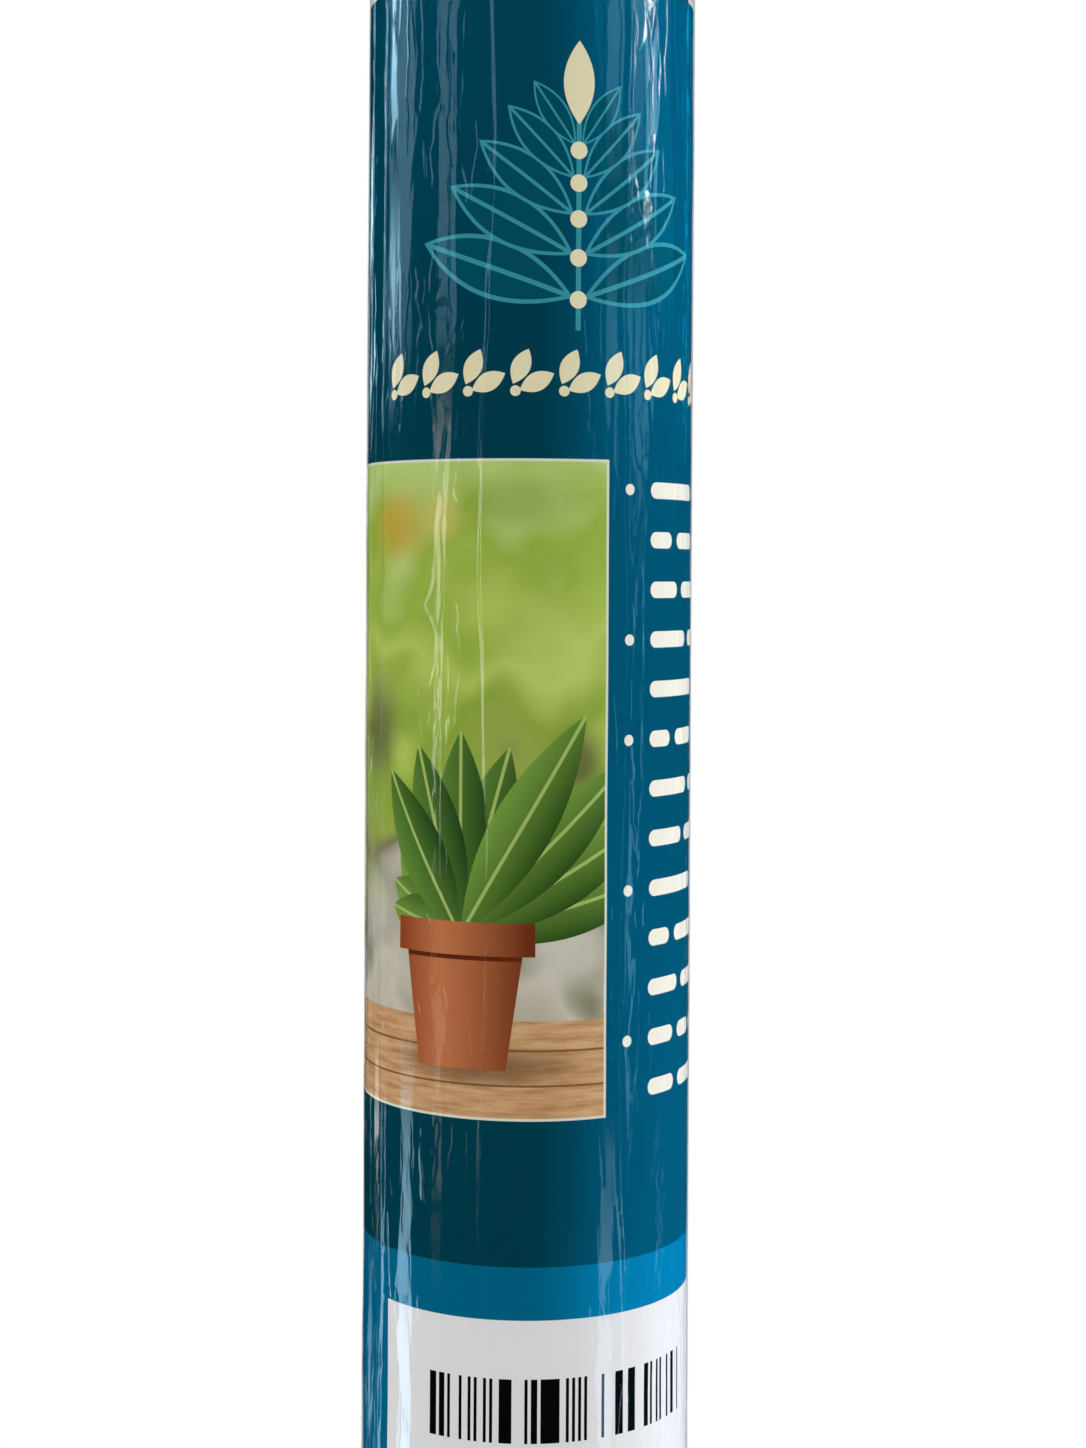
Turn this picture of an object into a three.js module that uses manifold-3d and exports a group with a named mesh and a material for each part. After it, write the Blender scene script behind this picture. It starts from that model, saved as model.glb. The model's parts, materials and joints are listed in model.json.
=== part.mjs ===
// A coir climbing pole for house plants, as sold: a fibre mat on a hollow core, bound with
// twine, on a wooden ground stake, in a printed paper label under clear film.
//
// Millimetres, +Z up. The origin is on the pole's axis at the soil line, where the mat ends
// and the bare stake goes down into the pot. The mat's seam and the label's lap face +Y.

import * as THREE from 'three';
import { mergeVertices } from 'three/addons/utils/BufferGeometryUtils.js';
import Module from 'manifold-3d';

// Driving dimensions

const fitGap = 0.3; // between pieces that touch on the real pole

const poleLength = 600; // mat and core, from the soil line up

const tubeDiameter = 20; // light plastic conduit
const tubeWall = 1.7;
const tubeMouthChamfer = 0.6; // inside and outside edges of both ends

const stakeSeat = 80; // length of stake inside the tube
const stakeReach = 120; // length of stake below the soil line
const stakePointLength = 26;
const stakePointDiameter = 5; // blunt end of the turned point
const stakeTopChamfer = 1.2;

const plugLength = 25; // wooden block that the stake butts against
const pinDiameter = 3; // nail through the tube and the plug

const matThickness = 10.2;
const matEdgeRadius = 2.6; // soft outer edge at both ends
const seamWidth = 2.2; // where the mat's two edges meet
const seamDepth = 3.6;

const twineDiameter = 1;
const twineCloseTurns = 3; // tight turns at each end
const twineClosePitch = 1.7;
const twineOpenTurns = 18; // the long open spiral between them
const twineEndInset = 9; // from the mat's end to the first turn
const twineBend = 0.8; // radius at which an end turns into the seam
const twineTuck = 1; // straight length of an end inside the seam

const labelHeight = 210; // a small printer's sheet, upright
const labelThickness = 0.3;
const labelLap = 7; // width of the glued overlap
const wrapClearance = 0.3; // label slides over the twine

const filmThickness = 0.25;
const filmOverhang = 18; // film past each edge of the label

// Sides of the round forms

const roundSides = 48;
const sheetStep = THREE.MathUtils.degToRad(5);
const twineStepsPerTurn = 24;
const twineSides = 6;
const edgeSteps = 4;

// Sizes worked out from the driving dimensions

const TURN = 2 * Math.PI;
const tubeRadius = tubeDiameter / 2;
const boreRadius = tubeRadius - tubeWall;
const stakeRadius = boreRadius - fitGap;
const plugBottom = stakeSeat + fitGap;
const pinHeight = plugBottom + plugLength / 2;
const matInnerRadius = tubeRadius + fitGap;
const matRadius = matInnerRadius + matThickness;
const twineRadius = twineDiameter / 2;
// The path's corners stand out so that the middle of each straight step clears the mat.
const twinePathRadius = (matRadius + fitGap + twineRadius) / Math.cos(Math.PI / twineStepsPerTurn);
const labelInnerRadius = twinePathRadius + twineRadius + wrapClearance;
const labelBottom = (poleLength - labelHeight) / 2;
const labelSheetWidth = TURN * (labelInnerRadius + labelThickness / 2) + labelLap;

const backAngle = Math.PI / 2; // +Y, where the seam and the lap are

// Materials

const finish = (color, roughness, metalness = 0) =>
  new THREE.MeshStandardMaterial({ color, roughness, metalness });
const plasticGrey = finish(0x8d9194, 0.45);
const paleWood = finish(0xd9a56b, 0.6);
const nailSteel = finish(0x9a9a98, 0.35, 1);
const coirBrown = finish(0x8a4a22, 0.95);
const twineBrown = finish(0xb08a58, 0.85);
const labelTeal = finish(0x00566b, 0.4);
const clearFilm = finish(0xe8f2f4, 0.1);

// Solids

const wasm = await Module();
wasm.setup();

function toSolid(geometry) {
  const bare = geometry.clone();
  bare.deleteAttribute('normal');
  bare.deleteAttribute('uv');
  const merged = mergeVertices(bare, 1e-4);
  return new wasm.Manifold(
    new wasm.Mesh({
      numProp: 3,
      vertProperties: new Float32Array(merged.attributes.position.array),
      triVerts: new Uint32Array(merged.index.array),
    }),
  );
}

function toGeometry(solid) {
  const mesh = solid.getMesh();
  const geometry = new THREE.BufferGeometry();
  geometry.setAttribute('position', new THREE.BufferAttribute(mesh.vertProperties, 3));
  geometry.setIndex(new THREE.BufferAttribute(mesh.triVerts, 1));
  geometry.computeVertexNormals();
  return geometry;
}

function cut(geometry, ...tools) {
  return toGeometry(tools.reduce((solid, tool) => solid.subtract(toSolid(tool)), toSolid(geometry)));
}

// A body turned about the pole's axis. The profile's points are [radius, height], outside going up.
function turned(points) {
  const profile = points.map(([radius, height]) => new THREE.Vector2(radius, height));
  return new THREE.LatheGeometry(profile, roundSides).rotateX(Math.PI / 2);
}

// A rod across the pole, along X.
function crossRod(radius, length, height) {
  return new THREE.CylinderGeometry(radius, radius, length, roundSides / 2)
    .rotateZ(Math.PI / 2)
    .translate(0, 0, height);
}

// Core: the tube, and the plug that is nailed in it above the stake

function coreTube() {
  const c = tubeMouthChamfer;
  const tube = turned([
    [boreRadius + c, 0],
    [tubeRadius - c, 0],
    [tubeRadius, c],
    [tubeRadius, poleLength - c],
    [tubeRadius - c, poleLength],
    [boreRadius + c, poleLength],
    [boreRadius, poleLength - c],
    [boreRadius, c],
    [boreRadius + c, 0],
  ]);
  return cut(tube, crossRod(pinDiameter / 2 + fitGap, 2 * tubeDiameter, pinHeight));
}

function stopPlug() {
  const plug = turned([
    [0, plugBottom],
    [stakeRadius, plugBottom],
    [stakeRadius, plugBottom + plugLength],
    [0, plugBottom + plugLength],
  ]);
  return cut(plug, crossRod(pinDiameter / 2 + fitGap, 2 * tubeDiameter, pinHeight));
}

function plugPin() {
  return crossRod(pinDiameter / 2, tubeDiameter, pinHeight);
}

// Stake: a dowel with a turned point, pushed up the tube to the plug

function groundStake() {
  return turned([
    [0, -stakeReach],
    [stakePointDiameter / 2, -stakeReach],
    [stakeRadius, stakePointLength - stakeReach],
    [stakeRadius, stakeSeat - stakeTopChamfer],
    [stakeRadius - stakeTopChamfer, stakeSeat],
    [0, stakeSeat],
  ]);
}

// Mat: rolled once round the tube, with soft outer edges and an open seam down the back

function softEdge(height, fromAngle) {
  const centre = matRadius - matEdgeRadius;
  return Array.from({ length: edgeSteps + 1 }, (_, i) => {
    const angle = fromAngle + (i / edgeSteps) * (Math.PI / 2);
    return [centre + matEdgeRadius * Math.cos(angle), height + matEdgeRadius * Math.sin(angle)];
  });
}

function coirWrap() {
  const roll = turned([
    [matInnerRadius, 0],
    ...softEdge(matEdgeRadius, -Math.PI / 2),
    ...softEdge(poleLength - matEdgeRadius, 0),
    [matInnerRadius, poleLength],
    [matInnerRadius, 0],
  ]);
  const vee = new THREE.Shape([
    new THREE.Vector2(0, matRadius - seamDepth),
    new THREE.Vector2(seamWidth, matRadius + seamDepth),
    new THREE.Vector2(-seamWidth, matRadius + seamDepth),
  ]);
  const seam = new THREE.ExtrudeGeometry(vee, { depth: 3 * poleLength, bevelEnabled: false });
  return cut(roll, seam.translate(0, 0, -poleLength));
}

// Twine: one unbroken length, in tight turns at each end, with its two ends tucked in the seam

// Height of the twine after a number of turns from the lower end.
function twineHeight(turn) {
  const first = twineEndInset;
  const last = poleLength - twineEndInset;
  const close = twineCloseTurns * twineClosePitch;
  const openPitch = (last - first - 2 * close) / twineOpenTurns;
  const open = THREE.MathUtils.clamp(turn - twineCloseTurns, 0, twineOpenTurns);
  return first + (turn - open) * twineClosePitch + open * openPitch;
}

// An end of the twine at the seam: along the pole's surface, round the bend, and straight in.
// The direction is +1 where the twine arrives and -1 where it leaves.
function tuckedEnd(height, direction) {
  const centre = twinePathRadius - twineBend;
  const points = Array.from({ length: edgeSteps + 1 }, (_, i) => {
    const angle = (i / edgeSteps) * (Math.PI / 2);
    const side = direction * twineBend * (Math.sin(angle) - 1);
    return new THREE.Vector3(-side, centre + twineBend * Math.cos(angle), height);
  });
  points.push(new THREE.Vector3(0, centre - twineTuck, height));
  return points;
}

function twinePath() {
  const turns = 2 * twineCloseTurns + twineOpenTurns;
  // The spiral stops one bend short of the seam at both ends.
  const short = twineBend / twinePathRadius / TURN;
  const steps = Math.round(turns * twineStepsPerTurn);
  const spiral = [];
  for (let i = 1; i < steps; i += 1) {
    const turn = THREE.MathUtils.lerp(short, turns - short, i / steps);
    const angle = backAngle + turn * TURN;
    spiral.push(
      new THREE.Vector3(
        twinePathRadius * Math.cos(angle),
        twinePathRadius * Math.sin(angle),
        twineHeight(turn),
      ),
    );
  }
  const start = tuckedEnd(twineHeight(0), -1).reverse();
  return [...start, ...spiral, ...tuckedEnd(twineHeight(turns), 1)];
}

// A closed tube along points, with its section square to the path and one corner kept level.
function tubeAlong(points, radius, sides) {
  const up = new THREE.Vector3(0, 0, 1);
  const position = [];
  points.forEach((point, i) => {
    const ahead = points[Math.min(i + 1, points.length - 1)];
    const behind = points[Math.max(i - 1, 0)];
    const along = ahead.clone().sub(behind).normalize();
    const level = up.clone().cross(along).normalize();
    const rise = along.clone().cross(level);
    for (let k = 0; k < sides; k += 1) {
      const angle = (k / sides) * TURN;
      const corner = point.clone();
      corner.addScaledVector(level, radius * Math.cos(angle));
      corner.addScaledVector(rise, radius * Math.sin(angle));
      position.push(...corner);
    }
  });
  const index = [];
  for (let i = 0; i + 1 < points.length; i += 1) {
    for (let k = 0; k < sides; k += 1) {
      const a = i * sides + k;
      const b = i * sides + ((k + 1) % sides);
      index.push(a, b, b + sides, a, b + sides, a + sides);
    }
  }
  const end = (points.length - 1) * sides;
  for (let k = 1; k + 1 < sides; k += 1) {
    index.push(0, k + 1, k, end, end + k, end + k + 1);
  }
  const geometry = new THREE.BufferGeometry();
  geometry.setAttribute('position', new THREE.Float32BufferAttribute(position, 3));
  geometry.setIndex(index);
  geometry.computeVertexNormals();
  return geometry;
}

// The least clear distance between stretches of the path that are half a turn or more apart.
function leastGap(points, thickness, apart) {
  let least = Infinity;
  for (let i = 0; i < points.length; i += 1) {
    for (let j = i + apart; j < points.length; j += 1) {
      least = Math.min(least, points[i].distanceTo(points[j]) - thickness);
    }
  }
  return least;
}

// Wrapper: the label's sheet goes once round and laps over itself, and the film follows it

const lapAngle = labelLap / labelInnerRadius;
const lapLift = labelThickness + fitGap;
const lapRise = THREE.MathUtils.degToRad(14); // the sheet climbs onto its own edge over this

// How far the sheet stands off its inner radius, by the angle it has gone round.
function sheetLift(angle) {
  return lapLift * THREE.MathUtils.smoothstep(angle, TURN - lapRise, TURN);
}

// The angles of a sheet's corners from start to end, evenly spaced.
function sheetAngles(start, end) {
  const steps = Math.ceil((end - start) / sheetStep);
  return Array.from({ length: steps + 1 }, (_, i) => THREE.MathUtils.lerp(start, end, i / steps));
}

function ringPoint(radius, angle) {
  return new THREE.Vector2(radius * Math.cos(angle), radius * Math.sin(angle));
}

// The sheet starts under the lap, so that the lap's free edge lies at the back.
const sheetStart = backAngle - lapAngle;

function labelSleeve() {
  const angles = sheetAngles(0, TURN + lapAngle);
  const side = (thickness) =>
    angles.map((a) => ringPoint(labelInnerRadius + sheetLift(a) + thickness, sheetStart + a));
  const section = new THREE.Shape([...side(labelThickness), ...side(0).reverse()]);
  return new THREE.ExtrudeGeometry(section, { depth: labelHeight, bevelEnabled: false }).translate(
    0,
    0,
    labelBottom,
  );
}

// The film runs over the lap's free edge and comes down again beyond it.
function filmLift(angle) {
  const down = THREE.MathUtils.smoothstep(angle, lapAngle + sheetStep, lapAngle + lapRise);
  return Math.max(sheetLift(angle), lapLift * (1 - down));
}

function filmSleeve() {
  const inner = labelInnerRadius + labelThickness + fitGap;
  const angles = sheetAngles(0, TURN).slice(0, -1);
  const loop = (thickness) =>
    angles.map((a) => ringPoint(inner + filmLift(a) + thickness, sheetStart + a));
  const section = new THREE.Shape(loop(filmThickness));
  section.holes.push(new THREE.Path(loop(0).reverse()));
  const depth = labelHeight + 2 * filmOverhang;
  return new THREE.ExtrudeGeometry(section, { depth, bevelEnabled: false }).translate(
    0,
    0,
    labelBottom - filmOverhang,
  );
}

// Assembly

const mossPole = new THREE.Group();

function addPiece(name, geometry, material) {
  const mesh = new THREE.Mesh(geometry, material);
  mesh.name = name;
  mossPole.add(mesh);
}

const twinePoints = twinePath();
const twineGap = leastGap(twinePoints, twineDiameter, twineStepsPerTurn / 2);

addPiece('core_tube', coreTube(), plasticGrey);
addPiece('stop_plug', stopPlug(), paleWood);
addPiece('plug_pin', plugPin(), nailSteel);
addPiece('ground_stake', groundStake(), paleWood);
addPiece('coir_wrap', coirWrap(), coirBrown);
addPiece('binding_twine', tubeAlong(twinePoints, twineRadius, twineSides), twineBrown);
addPiece('label_sleeve', labelSleeve(), labelTeal);
addPiece('film_sleeve', filmSleeve(), clearFilm);

console.log(`twine: least gap to itself ${twineGap.toFixed(2)} mm`);
console.log(`label: flat sheet ${labelSheetWidth.toFixed(1)} x ${labelHeight} mm`);

export default mossPole;
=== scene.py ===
# %% [markdown]
# # A coir climbing pole in its shop wrapper
#
# The pole is a plastic tube wrapped in coconut fibre, bound with twine, on a wooden stake. It is
# sold in a printed paper label under clear film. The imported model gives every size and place:
# this script loads it as a fixed frame, in metres, and makes each surface look like what it is.

# %% Load the frame
import json
import math
import random

import bmesh
import bpy
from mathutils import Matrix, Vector, noise

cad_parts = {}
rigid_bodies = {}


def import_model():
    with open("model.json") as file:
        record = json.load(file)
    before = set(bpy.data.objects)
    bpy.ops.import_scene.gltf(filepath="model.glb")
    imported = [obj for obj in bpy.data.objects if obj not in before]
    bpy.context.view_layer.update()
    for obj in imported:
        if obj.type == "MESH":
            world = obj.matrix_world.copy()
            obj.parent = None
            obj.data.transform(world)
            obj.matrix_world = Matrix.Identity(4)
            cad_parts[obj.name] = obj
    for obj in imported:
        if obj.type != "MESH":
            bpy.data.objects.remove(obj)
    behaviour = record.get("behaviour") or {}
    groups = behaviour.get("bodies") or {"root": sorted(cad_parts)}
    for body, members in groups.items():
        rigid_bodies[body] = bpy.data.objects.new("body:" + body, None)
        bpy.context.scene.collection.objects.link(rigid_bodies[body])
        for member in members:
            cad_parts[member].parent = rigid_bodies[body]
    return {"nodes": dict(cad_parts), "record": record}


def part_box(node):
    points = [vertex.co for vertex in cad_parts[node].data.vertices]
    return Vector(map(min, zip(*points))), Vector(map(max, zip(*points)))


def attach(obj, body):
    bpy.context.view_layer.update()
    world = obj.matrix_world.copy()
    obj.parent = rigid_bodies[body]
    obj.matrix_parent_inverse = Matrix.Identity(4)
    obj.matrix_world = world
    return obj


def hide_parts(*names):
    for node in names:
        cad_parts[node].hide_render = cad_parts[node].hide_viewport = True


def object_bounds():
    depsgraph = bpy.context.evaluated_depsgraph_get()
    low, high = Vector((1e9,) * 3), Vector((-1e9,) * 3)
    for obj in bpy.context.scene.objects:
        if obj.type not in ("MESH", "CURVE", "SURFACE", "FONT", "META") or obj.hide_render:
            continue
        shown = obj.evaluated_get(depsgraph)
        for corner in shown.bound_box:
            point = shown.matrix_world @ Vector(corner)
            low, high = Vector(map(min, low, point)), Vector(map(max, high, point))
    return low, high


MM = 0.001

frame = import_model()
cad_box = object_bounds()

# %% Sizes taken from the frame
label_low, label_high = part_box("label_sleeve")
film_low, film_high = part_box("film_sleeve")
mat_low, mat_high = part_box("coir_wrap")
tube_low, tube_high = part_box("core_tube")
stake_low, stake_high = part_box("ground_stake")
twine_low, twine_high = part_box("binding_twine")

LABEL_RADIUS = label_high.x
MAT_RADIUS = mat_high.x
TUBE_RADIUS = tube_high.x
STAKE_RADIUS = stake_high.x
print(f"label radius {LABEL_RADIUS / MM:.2f} mm, mat radius {MAT_RADIUS / MM:.2f} mm")

# %% [markdown]
# ## Getting things into the scene
#
# A mesh, a curve, a lamp or a camera is only data in Blender, until an object shows it in the scene.
# Nearly everything here is also round, so places are given by an angle and a distance from the pole's
# axis. Three small functions take care of both.

# %% Scene and place helpers
BACK = math.pi / 2  # +Y, where the mat's seam and the label's lap are
FRONT = BACK + math.pi


def round_pole(radius, angle, height=0.0):
    """The point at this angle and distance from the pole's axis."""
    return Vector((radius * math.cos(angle), radius * math.sin(angle), height))


def in_scene(name, data):
    """A new object that shows a mesh, a curve, a lamp or a camera."""
    made = bpy.data.objects.new(name, data)
    bpy.context.scene.collection.objects.link(made)
    return made


def mesh_in_scene(bm, name, material):
    """A new object made from a bmesh, which is used up."""
    mesh = bpy.data.meshes.new(name)
    bm.to_mesh(mesh)
    bm.free()
    mesh.materials.append(material)
    return in_scene(name, mesh)


print(f"the label's front is at y = {round_pole(LABEL_RADIUS, FRONT).y / MM:.2f} mm")

# %% [markdown]
# ## The camera
#
# A camera can be set by eye until the outline fits, but an upright pole fits many lenses. The printed
# lines on a round label bow with their height above or below the lens, so they fix it: the camera
# stands level, a little under fifteen label radii away, and its frame is cut out of a larger picture,
# off its middle, which a lens shift repeats. Only the wrapper is in view.

# %% Camera
PHOTO_WIDTH, PHOTO_HEIGHT = 1086, 1448
SENSOR = 36
FOCAL_PIXELS = 2386  # the lens, in pixels of the photograph
HORIZON_PIXEL = 572  # the row at the lens's own height
AXIS_PIXEL = 529  # the column of the pole's axis on that row
CAMERA_DISTANCE = 14.81 * LABEL_RADIUS
LABEL_TOP_OVER_LENS = 3.463 * LABEL_RADIUS
LEAN = math.radians(0.32)  # the pole leans this much to the right in the picture

camera = in_scene("camera", bpy.data.cameras.new("camera"))
bpy.context.scene.camera = camera
camera.location = (0, -CAMERA_DISTANCE, label_high.z - LABEL_TOP_OVER_LENS)
camera.rotation_euler = (math.pi / 2, -LEAN, 0)
camera.data.sensor_width = SENSOR
camera.data.lens = SENSOR * FOCAL_PIXELS / PHOTO_HEIGHT
camera.data.shift_x = (PHOTO_WIDTH / 2 - AXIS_PIXEL) / PHOTO_HEIGHT
camera.data.shift_y = (HORIZON_PIXEL - PHOTO_HEIGHT / 2) / PHOTO_HEIGHT
camera.data.clip_start = 10 * MM
print(f"camera {CAMERA_DISTANCE / MM:.0f} mm away, lens {camera.data.lens:.1f} mm")

# %% [markdown]
# ## One function for nodes, one for colours
#
# Every material below is a small node tree. One function adds a node: its settings go by name,
# its inputs in the order in which the node shows them, linked where they are sockets and set
# where they are values. Colours are written as hex, as a picture editor shows them, and turned
# to the linear values that a renderer works in.

# %% Node and colour helpers
WHITE = (1, 1, 1, 1)
SMOOTH = {"interpolation_type": "SMOOTHSTEP"}  # a Map Range node with this eases in and out


def linear(hex_colour):
    """The linear red, green, blue and alpha of an sRGB hex value."""
    channels = [int(hex_colour[i : i + 2], 16) / 255 for i in (1, 3, 5)]
    return (*[c / 12.92 if c <= 0.04045 else ((c + 0.055) / 1.055) ** 2.4 for c in channels], 1)


def node_adder(tree):
    """The function that adds nodes to this tree. It gives back a node's first output."""

    def add(kind, *values, named=None, stops=(), **settings):
        made = tree.nodes.new("ShaderNode" + kind)
        for name, value in settings.items():
            setattr(made, name, value)
        sockets = [socket for socket in made.inputs if socket.enabled]
        pairs = list(zip(sockets, values))
        pairs += [(made.inputs[name], value) for name, value in (named or {}).items()]
        for socket, value in pairs:
            if isinstance(value, bpy.types.NodeSocket):
                tree.links.new(value, socket)
            else:
                socket.default_value = value
        for i, (position, colour) in enumerate(stops):
            elements = made.color_ramp.elements
            element = elements[i] if i < 2 else elements.new(position)
            element.position = position
            element.color = linear(colour)
        return next((socket for socket in made.outputs if socket.enabled), None)

    return add


def new_material(name):
    """An empty material and the function that adds its nodes."""
    material = bpy.data.materials.new(name)
    material.use_nodes = True
    material.node_tree.nodes.clear()
    print("material:", name)
    return material, node_adder(material.node_tree)


print(f"half way up in sRGB is {linear('#808080')[0]:.3f} of white in linear light")

# %% [markdown]
# ## The studio
#
# The photograph is a product shot on white. Soft light comes from all round, and more of it, a little
# cooler, from a tall lamp behind to the right and a weaker one behind to the left. Clear film shows
# nothing but what it mirrors. So, as round any glossy thing in a studio, dark cards stand about the
# pole to keep the film clear, black in front and to the left, a very dim blue to the right, and
# upright strips of light draw the streaks on it. A point of a round film mirrors what stands at twice
# its own bearing, which is how the strips' places were found from the streaks.

# %% World
DOME_STRENGTH = 0.66

world = bpy.data.worlds.new("studio")
bpy.context.scene.world = world
world.use_nodes = True
world.node_tree.nodes.clear()
add = node_adder(world.node_tree)
path = add("LightPath").node
seen = add("Math", path.outputs["Is Camera Ray"], path.outputs["Is Glossy Ray"], operation="MAXIMUM")
seen = add("Math", seen, path.outputs["Is Transmission Ray"], operation="MAXIMUM")
dome = add("Background", WHITE, DOME_STRENGTH)
backdrop = add("Background", WHITE, 1.0)
add("OutputWorld", add("MixShader", seen, dome, backdrop))
print(f"white backdrop, and a dome of light of strength {DOME_STRENGTH}")

# %% Lamps
LAMP_DISTANCE = 1.2
LAMP_HEIGHT = 2.0
LAMP_MIDDLE = 0.55


def upright_lamp(name, bearing, width, radiance, colour):
    """An upright softbox at a bearing from the front, in degrees, positive to the right. The film
    doesn't mirror it."""
    lamp = bpy.data.lights.new(name, "AREA")
    lamp.shape = "RECTANGLE"
    lamp.size = width
    lamp.size_y = LAMP_HEIGHT
    lamp.energy = radiance * math.pi * width * LAMP_HEIGHT
    lamp.color = linear(colour)[:3]
    holder = in_scene(name, lamp)
    turn = math.radians(bearing)
    holder.location = round_pole(LAMP_DISTANCE, FRONT + turn, LAMP_MIDDLE)
    holder.rotation_euler = (math.pi / 2, 0, turn)
    holder.visible_camera = False
    holder.visible_glossy = False
    print(f"{name}: bearing {bearing}, radiance {radiance}")


upright_lamp("right key", 106, 0.8, 2.7, "#E6ECFC")
upright_lamp("left fill", -112, 0.5, 0.9, "#F2F4FF")

# %% Card helper
CARD_FADE = 0.13  # every card fades over this height at both ends
CARD_STEPS = 32
POLE_AXIS = {"axis": (0, 0, 1), "cent": (0, 0, 0)}  # what a spin turns about


def mirror_card(name, distance, bearings, heights, colour, strength):
    """A curved card between two bearings and two heights, which nothing but a mirrored ray meets."""
    low, high = heights
    material, add = new_material(name)
    level = add("SeparateXYZ", add("TexCoord").node.outputs["Object"]).node.outputs["Z"]
    rise = add("MapRange", level, low, low + CARD_FADE, 0.0, strength, **SMOOTH)
    fall = add("MapRange", level, high - CARD_FADE, high, 1.0, 0.0, **SMOOTH)
    add("OutputMaterial", add("Emission", linear(colour), add("Math", rise, fall, operation="MULTIPLY")))
    bm = bmesh.new()
    first, last = [FRONT + math.radians(bearing) for bearing in bearings]
    ends = [bm.verts.new(round_pole(distance, first, height)) for height in heights]
    edge = bm.edges.new(ends)
    bmesh.ops.spin(bm, geom=[*ends, edge], angle=last - first, steps=CARD_STEPS, **POLE_AXIS)
    card = mesh_in_scene(bm, name, material)
    card.visible_camera = False
    card.visible_diffuse = False
    card.visible_transmission = False
    card.visible_shadow = False


print(f"cards fade over {CARD_FADE} m at both ends")

# %% Dark cards
CARD_DISTANCE = 1.5
CARD_LOW, CARD_HIGH = -0.8, 1.8
LEFT_EDGE, SKY_EDGE, RIGHT_EDGE = -168, 44, 174  # bearings of the cards' edges
SKY = "#1AC4FF"

DARK_CARDS = (
    ("black card", LEFT_EDGE, SKY_EDGE, "#000000", 0.0),
    ("sky card", SKY_EDGE, RIGHT_EDGE, SKY, 0.1),
)
for name, first, last, colour, strength in DARK_CARDS:
    mirror_card(name, CARD_DISTANCE, (first, last), (CARD_LOW, CARD_HIGH), colour, strength)
print(f"{len(DARK_CARDS)} dark cards, from bearing {LEFT_EDGE} to {RIGHT_EDGE}")

# %% Strips of light
STRIP_DISTANCE = 1.4
STRIP_STEP = 2 * MM  # each stands this far in front of the one before, because some overlap
COOL, NEUTRAL, ICY = "#B2E6FF", "#F6FAEE", "#8ADCFF"


def strip_height(up):
    """Where a strip of light stands that the film mirrors, seen up mm over the label's lower edge."""
    point = label_low.z + up * MM
    return point + (point - camera.location.z) * STRIP_DISTANCE / (CAMERA_DISTANCE - LABEL_RADIUS)


STREAKS = (
    # name, bearings, the stretch of the label in mm up from its lower edge, colour, strength
    ("left core high", -122, -112, 178, 280, COOL, 12.0),
    ("left core", -117, -106, 148, 190, COOL, 9.8),
    ("left glow", -109, -89, 150, 280, COOL, 2.6),
    ("left low core", -98, -85, -60, 74, COOL, 8.0),
    ("left low line", -131, -125, 40, 76, NEUTRAL, 4.5),
    ("left low rim", -141, -137, -60, 48, COOL, 1.7),
    ("left slit high", -66, -50, 146, 280, COOL, 2.3),
    ("left slit", -66, -57, 84, 160, NEUTRAL, 5.5),
    ("left slit low", -66, -59, 40, 92, NEUTRAL, 1.4),
    ("left rim high", -150, -145, 140, 280, COOL, 4.4),
    ("left rim", -148, -145, 60, 146, COOL, 1.7),
    ("right veil", 46, 116, 150, 280, SKY, 0.9),
    ("right haze", 54, 74, 140, 184, ICY, 2.2),
    ("right core high", 58, 84, 176, 280, ICY, 2.8),
    ("right bright line", 86, 97, 166, 280, ICY, 7.5),
    ("right glint", 89, 92, 172, 280, NEUTRAL, 28.0),
    ("right core", 76, 87, 130, 182, ICY, 2.6),
    ("right crumple", 72, 77, 50, 146, ICY, 3.6),
    ("right low core", 51, 60, -60, 66, COOL, 3.4),
    ("right low line", 103, 107, -60, 66, ICY, 2.4),
    ("right line", 140, 143, 140, 280, SKY, 2.2),
)
for i, (name, first, last, low, high, colour, strength) in enumerate(STREAKS):
    heights = (strip_height(low), strip_height(high))
    mirror_card(name, STRIP_DISTANCE - i * STRIP_STEP, (first, last), heights, colour, strength)
print(f"{len(STREAKS)} strips of light")

# %% [markdown]
# The floor is a disc that fades out towards its edge, so that no line shows where it ends. It lies where
# the tip of the stake comes to when it is pulled out, and it isn't drawn from below.

# %% Floor
FLOOR_RADIUS = 0.85
FLOOR_WHOLE, FLOOR_GONE = 0.25, 0.95 * FLOOR_RADIUS  # the radii between which it fades
FLOOR_LIFT = 0.33  # what the camera alone sees more of, so that the floor is as white as the backdrop

# near white and matt, so that it takes a soft shadow
floor_paint, add = new_material("pale floor")
place = add("TexCoord").node.outputs["Object"]
reach = add("VectorMath", place, operation="LENGTH")
fade = add("MapRange", reach, FLOOR_WHOLE, FLOOR_GONE, 0.0, 1.0, **SMOOTH)
fade = add("Math", fade, add("NewGeometry").node.outputs["Backfacing"], operation="MAXIMUM")
lift = add("Math", add("LightPath").node.outputs["Is Camera Ray"], FLOOR_LIFT, operation="MULTIPLY")
paint = add("AddShader", add("BsdfDiffuse", linear("#F4F4F4")), add("Emission", WHITE, lift))
add("OutputMaterial", add("MixShader", fade, paint, add("BsdfTransparent")))

bm = bmesh.new()
bmesh.ops.create_circle(bm, cap_ends=True, segments=96, radius=FLOOR_RADIUS)
floor = mesh_in_scene(bm, "floor", floor_paint)
joints = {joint["name"]: joint for joint in frame["record"]["behaviour"]["joints"]}
floor.location.z = cad_box[0].z - joints["stake_pull"]["range_m"][1]
print(f"floor {2 * FLOOR_RADIUS} m across, {floor.location.z / MM:.0f} mm up: the tip of the pulled stake")

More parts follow.
